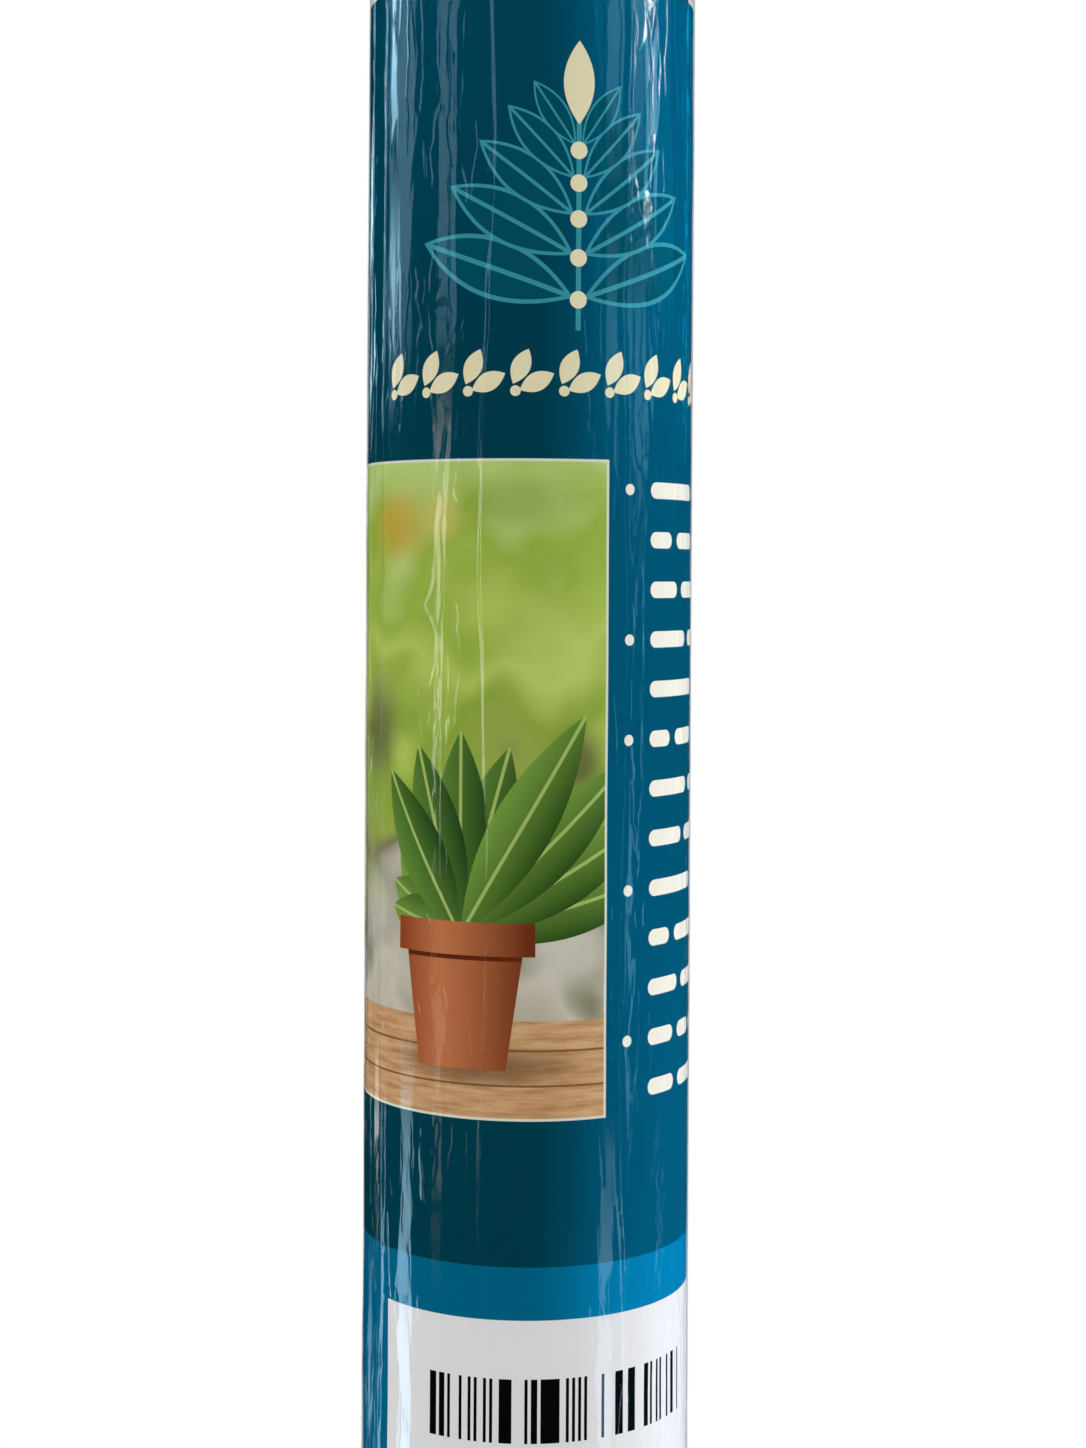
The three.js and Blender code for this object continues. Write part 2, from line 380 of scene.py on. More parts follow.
# %% [markdown]
# ## Turned pieces: the tube and the stake
#
# Both are bodies of revolution. They could start as cylinders, but a pointed end and a bore would
# then need cuts. So each starts as half a section, a few points in the XZ plane, that the spin
# operator carries round the axis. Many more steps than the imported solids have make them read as
# round, and a small bevel takes the knife edge off every rim.

# %% Turning helper
AROUND = 96
SAME_POINT = 0.001 * MM
SHARP_RIM = math.radians(9)


def turned(section, rim=0.0):
    """A closed body spun from section points (radius, height), with its sharp rims rounded."""
    bm = bmesh.new()
    corners = [bm.verts.new((radius, 0, height)) for radius, height in section]
    edges = [bm.edges.new((a, b)) for a, b in zip(corners, corners[1:] + corners[:1])]
    bmesh.ops.spin(bm, geom=corners + edges, angle=math.tau, steps=AROUND, use_merge=True, **POLE_AXIS)
    bmesh.ops.remove_doubles(bm, verts=bm.verts, dist=SAME_POINT)
    bmesh.ops.dissolve_degenerate(bm, edges=bm.edges, dist=SAME_POINT / 10)
    bmesh.ops.recalc_face_normals(bm, faces=bm.faces)
    if rim:
        between = [e for e in bm.edges if len(e.link_faces) == 2]
        bmesh.ops.bevel(
            bm,
            geom=[e for e in between if e.calc_face_angle() > SHARP_RIM],
            offset=rim,
            affect="EDGES",
            segments=3,
            profile=0.5,
            material=-1,
            clamp_overlap=True,
        )
    return bm


def finished(bm, name, body, material, sharp_angle=40):
    """Turns a bmesh into a piece that rides on a body."""
    piece = mesh_in_scene(bm, name, material)
    piece.data.shade_smooth()
    piece.data.set_sharp_from_angle(angle=math.radians(sharp_angle))
    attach(piece, body)
    print(f"{name}: {len(piece.data.polygons)} faces, rides on {body}")
    return piece


print(f"turned pieces have {AROUND} steps round")

# %% [markdown]
# ## Conduit plastic
#
# The core is thin grey PVC conduit, extruded: a satin surface with faint lines along its length.
# Flat grey would look moulded, and a UV map would be much work for two sawn ends and a bore, which
# are all that can be seen. So a noise runs along Z in Object coordinates, stretched until its grain
# becomes lines.

# %% Core tube
TUBE_WALL = 1.7 * MM
TUBE_RIM = 0.45 * MM
LINE_WIDTH, LINE_DEPTH = 0.8 * MM, 0.05 * MM
ALONG_TUBE = (1, 1, 1 / 50)  # the lines are fifty times as long as wide

# satin grey, with faint lines along the tube
conduit_plastic, add = new_material("extruded grey PVC")
place = add("TexCoord").node.outputs["Object"]
along = add("Mapping", place, named={"Scale": ALONG_TUBE})
lines = add("TexNoise", along, named={"Scale": 1 / LINE_WIDTH, "Detail": 4.0})
tone = add("ValToRGB", lines, stops=[(0.3, "#777B7E"), (0.7, "#93979A")])
bump = add("Bump", 0.3, LINE_DEPTH, named={"Height": lines})
satin = {"Base Color": tone, "Roughness": 0.48, "Normal": bump}
add("OutputMaterial", add("BsdfPrincipled", named=satin))

bore = TUBE_RADIUS - TUBE_WALL
section = [(bore, tube_low.z), (TUBE_RADIUS, tube_low.z), (TUBE_RADIUS, tube_high.z), (bore, tube_high.z)]
tube = finished(turned(section, TUBE_RIM), "core_tube_shell", "pole", conduit_plastic)
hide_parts("core_tube")

# %% [markdown]
# ## Pale dowel
#
# The stake is a stock hardwood dowel with a turned point. Dowels are milled along the grain, so
# the growth bands run nearly straight up it, with short dark pores between them. An image laid round
# it would smear over the point. Object coordinates run through the wood as its grain does, so the
# bands come from a wave texture bent by noise, and the pores from a second, much finer noise, both
# stretched along Z.

# %% Wood
GRAIN_PERIOD = 2.6 * MM
GRAIN_BEND, BEND_SIZE = 4 * MM, 7 * MM  # how far the bands stray, and over what distance
GRAIN_TILT = (0.02, 0.03, 0)  # radians off the dowel's length
ALONG_GRAIN = (1, 1, 1 / 20)
PORE_WIDTH, PORE_EDGE = 0.22 * MM, (0.60, 0.72)  # the noise that makes a pore
GRAIN_DEPTH = 0.12 * MM
WAVE_RADIANS_PER_UNIT = 20  # what the wave texture counts at a scale of one

# pale bands with short dark pores, sanded and uncoated
dowel_wood, add = new_material("milled hardwood dowel")
place = add("TexCoord").node.outputs["Object"]
along = add("Mapping", place, named={"Rotation": GRAIN_TILT, "Scale": ALONG_GRAIN})
bend = add("TexNoise", along, named={"Scale": 1 / BEND_SIZE, "Detail": 2.0}).node.outputs["Color"]
shifted = add("VectorMath", along, (GRAIN_BEND / 2, GRAIN_BEND / 2, 0.0), operation="ADD")
strayed = add("VectorMath", bend, (GRAIN_BEND, GRAIN_BEND, 0.0), shifted, operation="MULTIPLY_ADD")
bands = add("TexWave", strayed, named={"Scale": math.tau / WAVE_RADIANS_PER_UNIT / GRAIN_PERIOD})
pores = add("TexNoise", along, named={"Scale": 1 / PORE_WIDTH, "Detail": 1.0})
pores = add("MapRange", pores, *PORE_EDGE, 0.0, 1.0)
tone = add("ValToRGB", bands, stops=[(0.0, "#C79A63"), (0.45, "#DDBA85"), (1.0, "#E6C898")])
tone = add("Mix", pores, tone, linear("#9A6E3C"), data_type="RGBA")
bump = add("Bump", 0.35, GRAIN_DEPTH, named={"Height": add("Math", bands, pores, operation="SUBTRACT")})
sanded = {"Base Color": tone, "Roughness": 0.62, "Normal": bump}
add("OutputMaterial", add("BsdfPrincipled", named=sanded))

# %% Ground stake
POINT_LENGTH = 26 * MM
POINT_RADIUS = 2.5 * MM
TOP_CHAMFER = 1.2 * MM
STAKE_RIM = 0.5 * MM

section = [
    (0, stake_low.z),
    (POINT_RADIUS, stake_low.z),
    (STAKE_RADIUS, stake_low.z + POINT_LENGTH),
    (STAKE_RADIUS, stake_high.z - TOP_CHAMFER),
    (STAKE_RADIUS - TOP_CHAMFER, stake_high.z),
    (0, stake_high.z),
]
stake = finished(turned(section, STAKE_RIM), "ground_stake_dowel", "stake", dowel_wood)
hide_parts("ground_stake")
frame["nodes"]["stop_plug"].material_slots[0].material = dowel_wood

# %% [markdown]
# ## Nail
#
# A plain wire nail, drawn steel, holds the plug inside the tube. Nothing shows it until the pole
# is taken apart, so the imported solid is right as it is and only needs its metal, dull with marks that
# run along the wire.

# %% Nail steel
MARK_WIDTH = 0.25 * MM  # coarser than real marks, so that they show
ALONG_NAIL = (1 / 20, 1, 1)
BRIGHTEST, DULLEST = 0.28, 0.48  # roughness

# grey, dulled by marks along the wire
nail_steel, add = new_material("drawn steel wire")
place = add("TexCoord").node.outputs["Object"]
along = add("Mapping", place, named={"Scale": ALONG_NAIL})
marks = add("TexNoise", along, named={"Scale": 1 / MARK_WIDTH, "Detail": 2.0})
dull = add("MapRange", marks, 0.0, 1.0, BRIGHTEST, DULLEST)
metal = {"Base Color": linear("#8E8D8A"), "Metallic": 1.0, "Roughness": dull}
add("OutputMaterial", add("BsdfPrincipled", named=metal))
frame["nodes"]["plug_pin"].material_slots[0].material = nail_steel

# %% [markdown]
# ## The mat under the fibres
#
# Coir is coconut husk fibre, needled into a springy mat and rolled once round the tube. The body
# of the mat is a ring, spun from four corners, with its outer edges bevelled soft and its wall
# cut into rings. A Displace modifier could rough it up, but the hairs have to lie on the same wall.
# So one function says for both how far out it stands: lumps from noise, a dip where the twine bites,
# a swelling past both edges of the label, which squeezes what is under it, and an open seam down the
# back where the two edges of the mat meet.

# %% Where the twine runs
CLOSE_TURNS = 3  # tight turns at each end
OPEN_TURNS = 18  # the long spiral between them
CLOSE_PITCH = 1.7 * MM
TWINE_RADIUS = 0.5 * MM
TWINE_PATH_RADIUS = MAT_RADIUS + TWINE_RADIUS
ALL_TURNS = 2 * CLOSE_TURNS + OPEN_TURNS

first_turn = twine_low.z + TWINE_RADIUS
last_turn = twine_high.z - TWINE_RADIUS
open_pitch = (last_turn - first_turn - 2 * CLOSE_TURNS * CLOSE_PITCH) / OPEN_TURNS


def twine_height(turn):
    """The twine's height after this many turns."""
    opened = min(max(turn - CLOSE_TURNS, 0), OPEN_TURNS)
    return first_turn + (turn - opened) * CLOSE_PITCH + opened * open_pitch


def off_the_twine(angle, height):
    """How far a point of the mat's wall is from the nearest turn, up or down."""
    part = ((angle - BACK) / math.tau) % 1
    return min(abs(height - twine_height(turn + part)) for turn in range(ALL_TURNS))


print(f"twine: {ALL_TURNS} turns, {open_pitch / MM:.1f} mm apart in the open part")

# %% How far out the mat stands
SEAM_WIDTH, SEAM_DEPTH = 1.8 * MM, 3.2 * MM
LUMP_SIZE, LUMP_HEIGHT = 9 * MM, 0.35 * MM
BITE_REACH, BITE_DEPTH = 3.5 * MM, 0.7 * MM
SWELLING = 0.9 * MM
SWELL_RISE = (-3 * MM, 0)  # past the label's edge
SWELL_FALL = (6 * MM, 24 * MM)


def smooth(low, high, value):
    """Goes from 0 at low to 1 at high, and eases in and out."""
    t = min(max((value - low) / (high - low), 0), 1)
    return t * t * (3 - 2 * t)


def mat_radius(angle, height):
    """The mat's outer radius at a point of its wall."""
    at = round_pole(MAT_RADIUS, angle, height)
    lump = LUMP_HEIGHT * (noise.noise(at / LUMP_SIZE) + 0.5)
    bite = BITE_DEPTH * math.exp(-((off_the_twine(angle, height) / BITE_REACH) ** 2))
    across = abs(math.remainder(angle - BACK, math.tau)) * MAT_RADIUS
    seam = SEAM_DEPTH * max(0.0, 1 - across / SEAM_WIDTH)
    past = max(label_low.z - height, height - label_high.z)
    swelling = SWELLING * smooth(*SWELL_RISE, past) * (1 - smooth(*SWELL_FALL, past))
    return MAT_RADIUS + lump + swelling - bite - seam


print(f"mat radius half way up at the front: {mat_radius(FRONT, mat_high.z / 2) / MM:.2f} mm")

# %% Mat body
MAT_EDGE = 2.6 * MM
MAT_RINGS = 260
MAT_CLEARANCE = 0.3 * MM
NEAR = 0.01 * MM


def climb(edge):
    """How much higher one end of an edge is than the other."""
    return abs(edge.verts[0].co.z - edge.verts[1].co.z)


mat_bore = TUBE_RADIUS + MAT_CLEARANCE
section = [(mat_bore, mat_low.z), (MAT_RADIUS, mat_low.z), (MAT_RADIUS, mat_high.z), (mat_bore, mat_high.z)]
mat_bm = turned(section)
outermost = [e for e in mat_bm.edges if all(abs(v.co.xy.length - MAT_RADIUS) < NEAR for v in e.verts)]
rims = [e for e in outermost if climb(e) < NEAR]
bmesh.ops.bevel(mat_bm, geom=rims, offset=MAT_EDGE, affect="EDGES", segments=5, profile=0.5, material=-1)
upright = [e for e in mat_bm.edges if climb(e) > mat_high.z / 2]
wall = [e for e in upright if e.verts[0].co.xy.length > MAT_RADIUS - NEAR]
bmesh.ops.subdivide_edges(mat_bm, edges=wall, cuts=MAT_RINGS)
for v in mat_bm.verts:
    radius = v.co.xy.length
    if radius > MAT_RADIUS - MAT_EDGE:
        angle = math.atan2(v.co.y, v.co.x)
        v.co.xy *= (radius + mat_radius(angle, v.co.z) - MAT_RADIUS) / radius
print(f"mat body: {len(wall)} columns cut into {MAT_RINGS + 1} rings")

# %% Coir material
CLUMP, THREAD = 5 * MM, 0.7 * MM  # threads are drawn coarser than real fibres, so that they show
COIR_DEPTH = 0.5 * MM

# no gloss at all; the threads' own reddish brown, with painted shade in the gaps, dark where the bump is
# low
needled_coir, add = new_material("needled coconut fibre")
place = add("TexCoord").node.outputs["Object"]
clumps = add("TexNoise", place, named={"Scale": 1 / CLUMP, "Detail": 6.0, "Roughness": 0.7})
threads = add("TexNoise", place, named={"Scale": 1 / THREAD, "Detail": 4.0, "Distortion": 2.5})
mixed = add("Math", clumps, threads, operation="ADD")
half = add("Math", mixed, 0.5, operation="MULTIPLY")
tone = add("ValToRGB", half, stops=[(0.36, "#2C1309"), (0.66, "#85451F")])
bump = add("Bump", 0.9, COIR_DEPTH, named={"Height": mixed})
matt = {"Base Color": tone, "Roughness": 0.95, "Normal": bump}
add("OutputMaterial", add("BsdfPrincipled", named=matt))
mat = finished(mat_bm, "coir_mat", "pole", needled_coir)
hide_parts("coir_wrap")

# %% [markdown]
# ## Loose fibres
#
# What makes coir look like coir is its hairs: stiff, springy, reddish brown to straw, lying
# every way on the mat with their ends sticking out. Real ones are a fifth of a millimetre thick,
# which would not show in a picture of the whole pole, so these are drawn about twice that. Particle
# hair would be quick to set up, but it is no geometry, and would be lost when the model is saved as
# a mesh. So they are thin tubes, on one curve object for each stretch of the pole, and each takes
# its own shade.

# %% Fibre material
# each hair has one shade from end to end, with a dry shine
loose_coir, add = new_material("loose coir hairs")
chance = add("NewGeometry").node.outputs["Random Per Island"]
stops = [(0.0, "#431D0C"), (0.3, "#743615"), (0.62, "#9C5A28"), (0.86, "#BC8449"), (1.0, "#D6AC74")]
tone = add("ValToRGB", chance, stops=stops)
add("OutputMaterial", add("BsdfPrincipled", named={"Base Color": tone, "Roughness": 0.72}))

# %% Thin tubes
FIBRE_RADIUS = 0.19 * MM
FIBRE_TAPER = 0.6  # a hair is this much thinner at both ends


def tube_curve(name, radius, material):
    """A curve object whose lines become thin tubes with closed ends."""
    curve = bpy.data.curves.new(name, "CURVE")
    curve.dimensions = "3D"
    curve.bevel_depth = radius
    curve.bevel_resolution = 0
    curve.use_fill_caps = True
    curve.materials.append(material)
    return in_scene(name, curve)


def add_line(piece, points, taper=0.0):
    """Adds one tube through these points, thinner towards both ends by the share in taper."""
    spline = piece.data.splines.new("POLY")
    spline.points.add(len(points) - 1)
    for i, point in enumerate(points):
        spline.points[i].co = (*point, 1)
        spline.points[i].radius = 1 - taper * abs(2 * i / (len(points) - 1) - 1) ** 3


def hair_piece(name, hairs):
    """A piece made of these hairs, each a list of points."""
    piece = tube_curve(name, FIBRE_RADIUS, loose_coir)
    for points in hairs:
        add_line(piece, points, FIBRE_TAPER)
    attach(piece, "pole")
    print(f"{name}: {len(piece.data.splines)} hairs")


print(f"hairs are {2 * FIBRE_RADIUS / MM:.2f} mm thick")

# %% Fibres on the wall
FIBRE_STEPS = 6
FIBRE_CEILING = LABEL_RADIUS - 0.75 * MM  # no hair reaches the label, which slides over them
FIBRE_STRETCHES = 4
FIBRES_A_STRETCH, STRAYS_A_STRETCH = 3000, 800
FIBRE_LENGTHS, STRAY_LENGTHS = (14, 34), (9, 16)  # mm
FIBRE_RISE = (0.05, 0.55)  # mm that a hair's middle lies over the mat
FIBRE_LAY, FIBRE_CURL = (0.35, 0.75), (0, 0.9)  # radians from level, and of bend: mean and spread
FIBRE_SINK = 0.05 * MM
STRAY_LIFT, STRAY_FROM = 2.2 * MM, -0.1  # it lifts from just before its middle
END_MARGIN = 0.4 * MM
EDGE_ROUNDING = 0.6 * MAT_EDGE

fibre_draw = random.Random(11)


def wall_fibre(low, high, stray):
    """Points of one hair between two heights. A stray hair lifts off the mat at one end."""
    length = fibre_draw.uniform(*(STRAY_LENGTHS if stray else FIBRE_LENGTHS)) * MM
    angle = fibre_draw.uniform(0, math.tau)
    height = fibre_draw.uniform(low, high)
    lay = fibre_draw.gauss(*FIBRE_LAY)
    curl = fibre_draw.gauss(*FIBRE_CURL)
    rise = fibre_draw.uniform(*FIBRE_RISE) * MM
    points = []
    for i in range(FIBRE_STEPS + 1):
        t = i / FIBRE_STEPS - 0.5
        heading = lay + curl * t
        angle += length / FIBRE_STEPS * math.cos(heading) / MAT_RADIUS
        height += length / FIBRE_STEPS * math.sin(heading)
        level = min(max(height, mat_low.z + END_MARGIN), mat_high.z - END_MARGIN)
        rounding = max(0, MAT_EDGE - min(level - mat_low.z, mat_high.z - level)) / MAT_EDGE
        radius = mat_radius(angle, level) - EDGE_ROUNDING * rounding**3
        radius += rise * (1 - (2 * t) ** 2) - FIBRE_SINK
        if stray:
            radius += STRAY_LIFT * max(0, t - STRAY_FROM) ** 1.5
        points.append(round_pole(min(radius, FIBRE_CEILING), angle, level))
    return points


stretch_height = (mat_high.z - mat_low.z) / FIBRE_STRETCHES
for stretch in range(FIBRE_STRETCHES):
    low = mat_low.z + stretch * stretch_height
    strays = [i >= FIBRES_A_STRETCH for i in range(FIBRES_A_STRETCH + STRAYS_A_STRETCH)]
    hairs = [wall_fibre(low, low + stretch_height, stray) for stray in strays]
    hair_piece(f"coir_hairs_{stretch + 1}", hairs)

# %% Fibres on the cut ends
END_FIBRES = 900
END_LENGTHS, END_CURL = (4, 12), (0, 1.2)  # mm, and radians of bend: mean and spread
END_RISE = 0.25 * MM
END_START = (mat_bore + 0.6 * MM, MAT_RADIUS - 1.6 * MM)  # the radii between which a hair starts
END_REACH = (mat_bore + 0.3 * MM, MAT_RADIUS - 0.4 * MM)  # and between which it stays


def end_fibre(face, outward):
    """Points of one hair on a cut end of the mat, between the tube and the soft edge."""
    length = fibre_draw.uniform(*END_LENGTHS) * MM
    reach = fibre_draw.uniform(*END_START)
    bearing = fibre_draw.uniform(0, math.tau)
    heading = fibre_draw.uniform(0, math.tau)
    curl = fibre_draw.gauss(*END_CURL)
    at = round_pole(reach, bearing)
    points = []
    for i in range(FIBRE_STEPS + 1):
        t = i / FIBRE_STEPS - 0.5
        at = at + round_pole(length / FIBRE_STEPS, heading + curl * t)
        radius = min(max(at.xy.length, END_REACH[0]), END_REACH[1])
        at = at * (radius / at.xy.length)
        fall = max(0, radius - (MAT_RADIUS - MAT_EDGE)) / MAT_EDGE
        drop = MAT_EDGE * (1 - math.sqrt(max(0, 1 - min(fall, 1) ** 2)))
        level = face + outward * (END_RISE * (1 - (2 * t) ** 2) - drop)
        points.append((at.x, at.y, level))
    return points


cut_ends = ((mat_low.z, -1), (mat_high.z, 1))
hair_piece("coir_hairs_ends", [end_fibre(*cut_end) for cut_end in cut_ends for _ in range(END_FIBRES)])

# %% [markdown]
# ## Binding twine
#
# One length of jute twine holds the mat on: three tight turns, a long open spiral, three tight
# turns, and both ends tucked into the seam. One tube with a twisted bump would do from afar, but its
# outline would stay smooth. The twine is three yarns laid together, so three thin tubes are wound
# round the line that it follows.

# %% Twine material
FUZZ, FUZZ_DEPTH = 0.35 * MM, 0.08 * MM  # coarser than real jute fibres, so that it shows

# dull and fuzzy, straw coloured, with painted shade in the folds that follows the bump: brown where it is
# low
jute, add = new_material("laid jute twine")
place = add("TexCoord").node.outputs["Object"]
fuzz = add("TexNoise", place, named={"Scale": 1 / FUZZ, "Detail": 3.0, "Roughness": 0.7})
tone = add("ValToRGB", fuzz, stops=[(0.3, "#7C5A31"), (0.5, "#AC8651"), (0.72, "#CDB07E")])
bump = add("Bump", 0.6, FUZZ_DEPTH, named={"Height": fuzz})
hairy = {"Base Color": tone, "Roughness": 0.85, "Normal": bump}
add("OutputMaterial", add("BsdfPrincipled", named=hairy))

# %% Twine
YARNS = 3
YARN_RADIUS = 0.26 * MM
LAY_LENGTH = 3.6 * MM  # the yarns go once round each other over this length
STEPS_A_LAY = 6
TUCK = 2.4 * MM

turn_length = math.tau * TWINE_PATH_RADIUS
spiral_steps = math.ceil(ALL_TURNS * turn_length * STEPS_A_LAY / LAY_LENGTH)


def yarn_points(yarn):
    """The way of one yarn, round the twine's own line."""
    points = []
    for i in range(spiral_steps + 1):
        turn = ALL_TURNS * i / spiral_steps
        from_end = min(turn, ALL_TURNS - turn) * turn_length
        sunk = TUCK * max(0, 1 - from_end / TUCK) ** 2
        lay = math.tau * (i / STEPS_A_LAY + yarn / YARNS)
        radius = TWINE_PATH_RADIUS - sunk + YARN_RADIUS * math.cos(lay)
        level = twine_height(turn) + YARN_RADIUS * math.sin(lay)
        points.append(round_pole(radius, BACK + turn * math.tau, level))
    return points


twine = tube_curve("binding_twine_yarns", YARN_RADIUS, jute)
for yarn in range(YARNS):
    add_line(twine, yarn_points(yarn))
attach(twine, "pole")
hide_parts("binding_twine")
print(f"twine: {YARNS} yarns of {spiral_steps} steps")

# %% [markdown]
# ## The label's sheet
#
# The label is a small upright sheet of coated paper, rolled once round the pole and glued where
# its edge laps over at the back. A ring would need a seam and would have no lap. So it is made as a
# printer would: a flat grid, which brings its own UV map, is rolled up point by point. The sheet
# lifts as it climbs over its own edge, and is nowhere quite true, because the fibres push at it
# from below.

# %% How the sheet rolls up
SHEET_THICKNESS = 0.3 * MM
LAP = 7 * MM
LAP_LIFT = 0.6 * MM
LAP_RISE = math.radians(14)
PAPER_WAVES = ((0.09 * MM, 1.3), (0.03 * MM, 5))  # height, and noise cells in a label radius

sheet_radius = LABEL_RADIUS - SHEET_THICKNESS / 2
lap_angle = LAP / (LABEL_RADIUS - SHEET_THICKNESS)
sheet_width = math.tau * sheet_radius + LAP
sheet_height = label_high.z - label_low.z
sheet_start = BACK - lap_angle


def lap_lift(turn):
    """How far the sheet stands off the pole after turning this far from its first edge."""
    return LAP_LIFT * smooth(math.tau - LAP_RISE, math.tau, turn)


def paper_wave(angle, height):
    """How far the paper is out of true at a point."""
    at = round_pole(1, angle, height / LABEL_RADIUS)
    return sum(tall * noise.noise(at * cells) for tall, cells in PAPER_WAVES)


def flat_grid(columns, rows):
    """A flat grid from -1 to 1 each way, with its UV map, to be rolled up."""
    bm = bmesh.new()
    bm.loops.layers.uv.new("sheet")
    bmesh.ops.create_grid(bm, x_segments=columns, y_segments=rows, size=1, calc_uvs=True)
    return bm


print(f"lap of {LAP / MM:.0f} mm, over {math.degrees(lap_angle):.1f} degrees of the pole")

# %% Label sheet
LABEL_COLUMNS, LABEL_ROWS = 240, 140

label_bm = flat_grid(LABEL_COLUMNS, LABEL_ROWS)
for v in label_bm.verts:
    turn = (v.co.x + 1) / 2 * sheet_width / sheet_radius
    height = label_low.z + (v.co.y + 1) / 2 * sheet_height
    angle = sheet_start + turn
    v.co = round_pole(LABEL_RADIUS + lap_lift(turn) + paper_wave(angle, height), angle, height)
bmesh.ops.recalc_face_normals(label_bm, faces=label_bm.faces)
print(f"label sheet {sheet_width / MM:.0f} x {sheet_height / MM:.0f} mm")

# %% [markdown]
# ## The print
#
# The label is printed in four or five inks. An image would be the usual way to make it, but it goes
# soft close up, and a print is only flat shapes laid over each other. So each shape is a mask: a
# Mapping node in its Texture mode carries the sheet's millimetres into the shape's own frame, where
# it reaches from -1 to 1, and a comparison says what is inside. Later inks cover earlier ones.
# Across is measured from the middle of the front, up from the lower edge. From here to the paper's
# finish, every node goes into the label's own tree.

# %% Sheet coordinates
# flat, even colour with crisp edges and the faintest grain
label_print, add = new_material("offset print on coated paper")

front = (FRONT - sheet_start) * sheet_radius
flat = add("UVMap", uv_map="sheet")
sheet = add("Mapping", flat, (-front / MM, 0, 0), (0, 0, 0), (sheet_width / MM, sheet_height / MM, 1))
sheet_axes = add("SeparateXYZ", sheet).node
across, up = sheet_axes.outputs["X"], sheet_axes.outputs["Y"]
print(f"the front's middle is {front / MM:.1f} mm from the sheet's first edge")


# %% Shapes and inks
def local(middle, size, turn=0.0, place=sheet):
    """Coordinates that run from -1 to 1 over a shape of this size, in mm, with its middle here."""
    half = (size[0] / 2, size[1] / 2, 1)
    return add("Mapping", place, (*middle, 0), (0, 0, math.radians(turn)), half, vector_type="TEXTURE")


def box_mask(middle, size):
    """What is inside an upright rectangle."""
    sides = add("SeparateXYZ", add("VectorMath", local(middle, size), operation="ABSOLUTE")).node
    farther = add("Math", sides.outputs["X"], sides.outputs["Y"], operation="MAXIMUM")
    return add("Math", farther, 1.0, operation="LESS_THAN")


def disc_mask(middle, radius, place=sheet):
    """What is inside a circle."""
    reach = add("VectorMath", local(middle, (2 * radius, 2 * radius), place=place), operation="LENGTH")
    return add("Math", reach, 1.0, operation="LESS_THAN")


def soft_disc(middle, size, amount):
    """A blurred spot, whole over a fifth of its size."""
    reach = add("VectorMath", local(middle, size), operation="LENGTH")
    return add("MapRange", reach, 0.2, 1.0, amount, 0.0, **SMOOTH)


def leaf_shape(middle, size, turn, place=sheet):
    """What is inside a leaf, how far inside its edge, which side of its rib, and how far off it."""
    sides = add("SeparateXYZ", local(middle, size, turn, place)).node
    along, side = sides.outputs["X"], sides.outputs["Y"]
    off_rib = add("Math", side, operation="ABSOLUTE")
    half_width = add("Math", 1.0, add("Math", along, along, operation="MULTIPLY"), operation="SUBTRACT")
    depth = add("Math", half_width, off_rib, operation="SUBTRACT")
    return add("Math", depth, 0.0, operation="GREATER_THAN"), depth, side, off_rib


def ink(under, paint, *masks):
    """Lays an ink, or another colour, over what is printed so far, where all these masks hold."""
    mask = masks[0]
    for other in masks[1:]:
        mask = add("Math", mask, other, operation="MULTIPLY")
    colour = linear(paint) if isinstance(paint, str) else paint
    return add("Mix", mask, under, colour, data_type="RGBA")


print(f"{len(label_print.node_tree.nodes)} nodes in the label's tree before the first ink")

# %% Field colours
# The field is one teal ink and one blue ink. The second colour on each of the next two lines is painted
# light: the same ink made lighter to the right of the front and towards the top, where light falls on it
# more.
FRONT_TEAL, PAINTED_LIT_TEAL = "#024556", "#026081"
FRONT_BLUE, PAINTED_LIT_BLUE = "#027096", "#028ABE"
CREAM, PALE = "#FFF6CC", "#FFFBEA"
BLUE_FIELD_TOP = 40.85
# painted light: the field is painted lighter between these distances across, and towards the top
PAINTED_LIGHT_FROM, PAINTED_LIGHT_TO = (0, 12), (42, 62)  # across: where the field grows lighter, and darker again
PAINTED_LIGHT_UP, PAINTED_LIGHT_AT_TOP = (140, 205), 0.3
MOTTLE_SIZE, MOTTLE = 30, 0.3
# painted shade: a soft patch of the deep teal round the bars
PAINTED_SHADE_MIDDLE, PAINTED_SHADE_SIZE, PAINTED_SHADE = (34, 116), (58, 136), 0.45  # round the bars

mottle = add("TexNoise", sheet, named={"Scale": 1 / MOTTLE_SIZE, "Detail": 3.0})
mottle = add("Math", mottle, MOTTLE, -MOTTLE / 2, operation="MULTIPLY_ADD")
rising = add("MapRange", across, *PAINTED_LIGHT_FROM, 0.0, 1.0, **SMOOTH)
falling = add("MapRange", across, *PAINTED_LIGHT_TO, 1.0, 0.0, **SMOOTH)
painted_light_across = add("Math", rising, falling, operation="MULTIPLY")
# painted light, towards the top and to the right of the front, with the ink's own mottle added
painted_light_and_mottle = add("Math", add("MapRange", up, *PAINTED_LIGHT_UP, 0.0, PAINTED_LIGHT_AT_TOP), painted_light_across)
painted_light_and_mottle = add("Math", mottle, painted_light_and_mottle, use_clamp=True)
teal = ink(linear(FRONT_TEAL), PAINTED_LIT_TEAL, painted_light_and_mottle)
# painted shade round the bars
teal = ink(teal, FRONT_TEAL, soft_disc(PAINTED_SHADE_MIDDLE, PAINTED_SHADE_SIZE, PAINTED_SHADE))
blue = ink(linear(FRONT_BLUE), PAINTED_LIT_BLUE, painted_light_and_mottle)
printed = ink(teal, blue, add("Math", up, BLUE_FIELD_TOP, operation="LESS_THAN"))
print(f"teal field over a blue one, which ends {BLUE_FIELD_TOP} mm up")

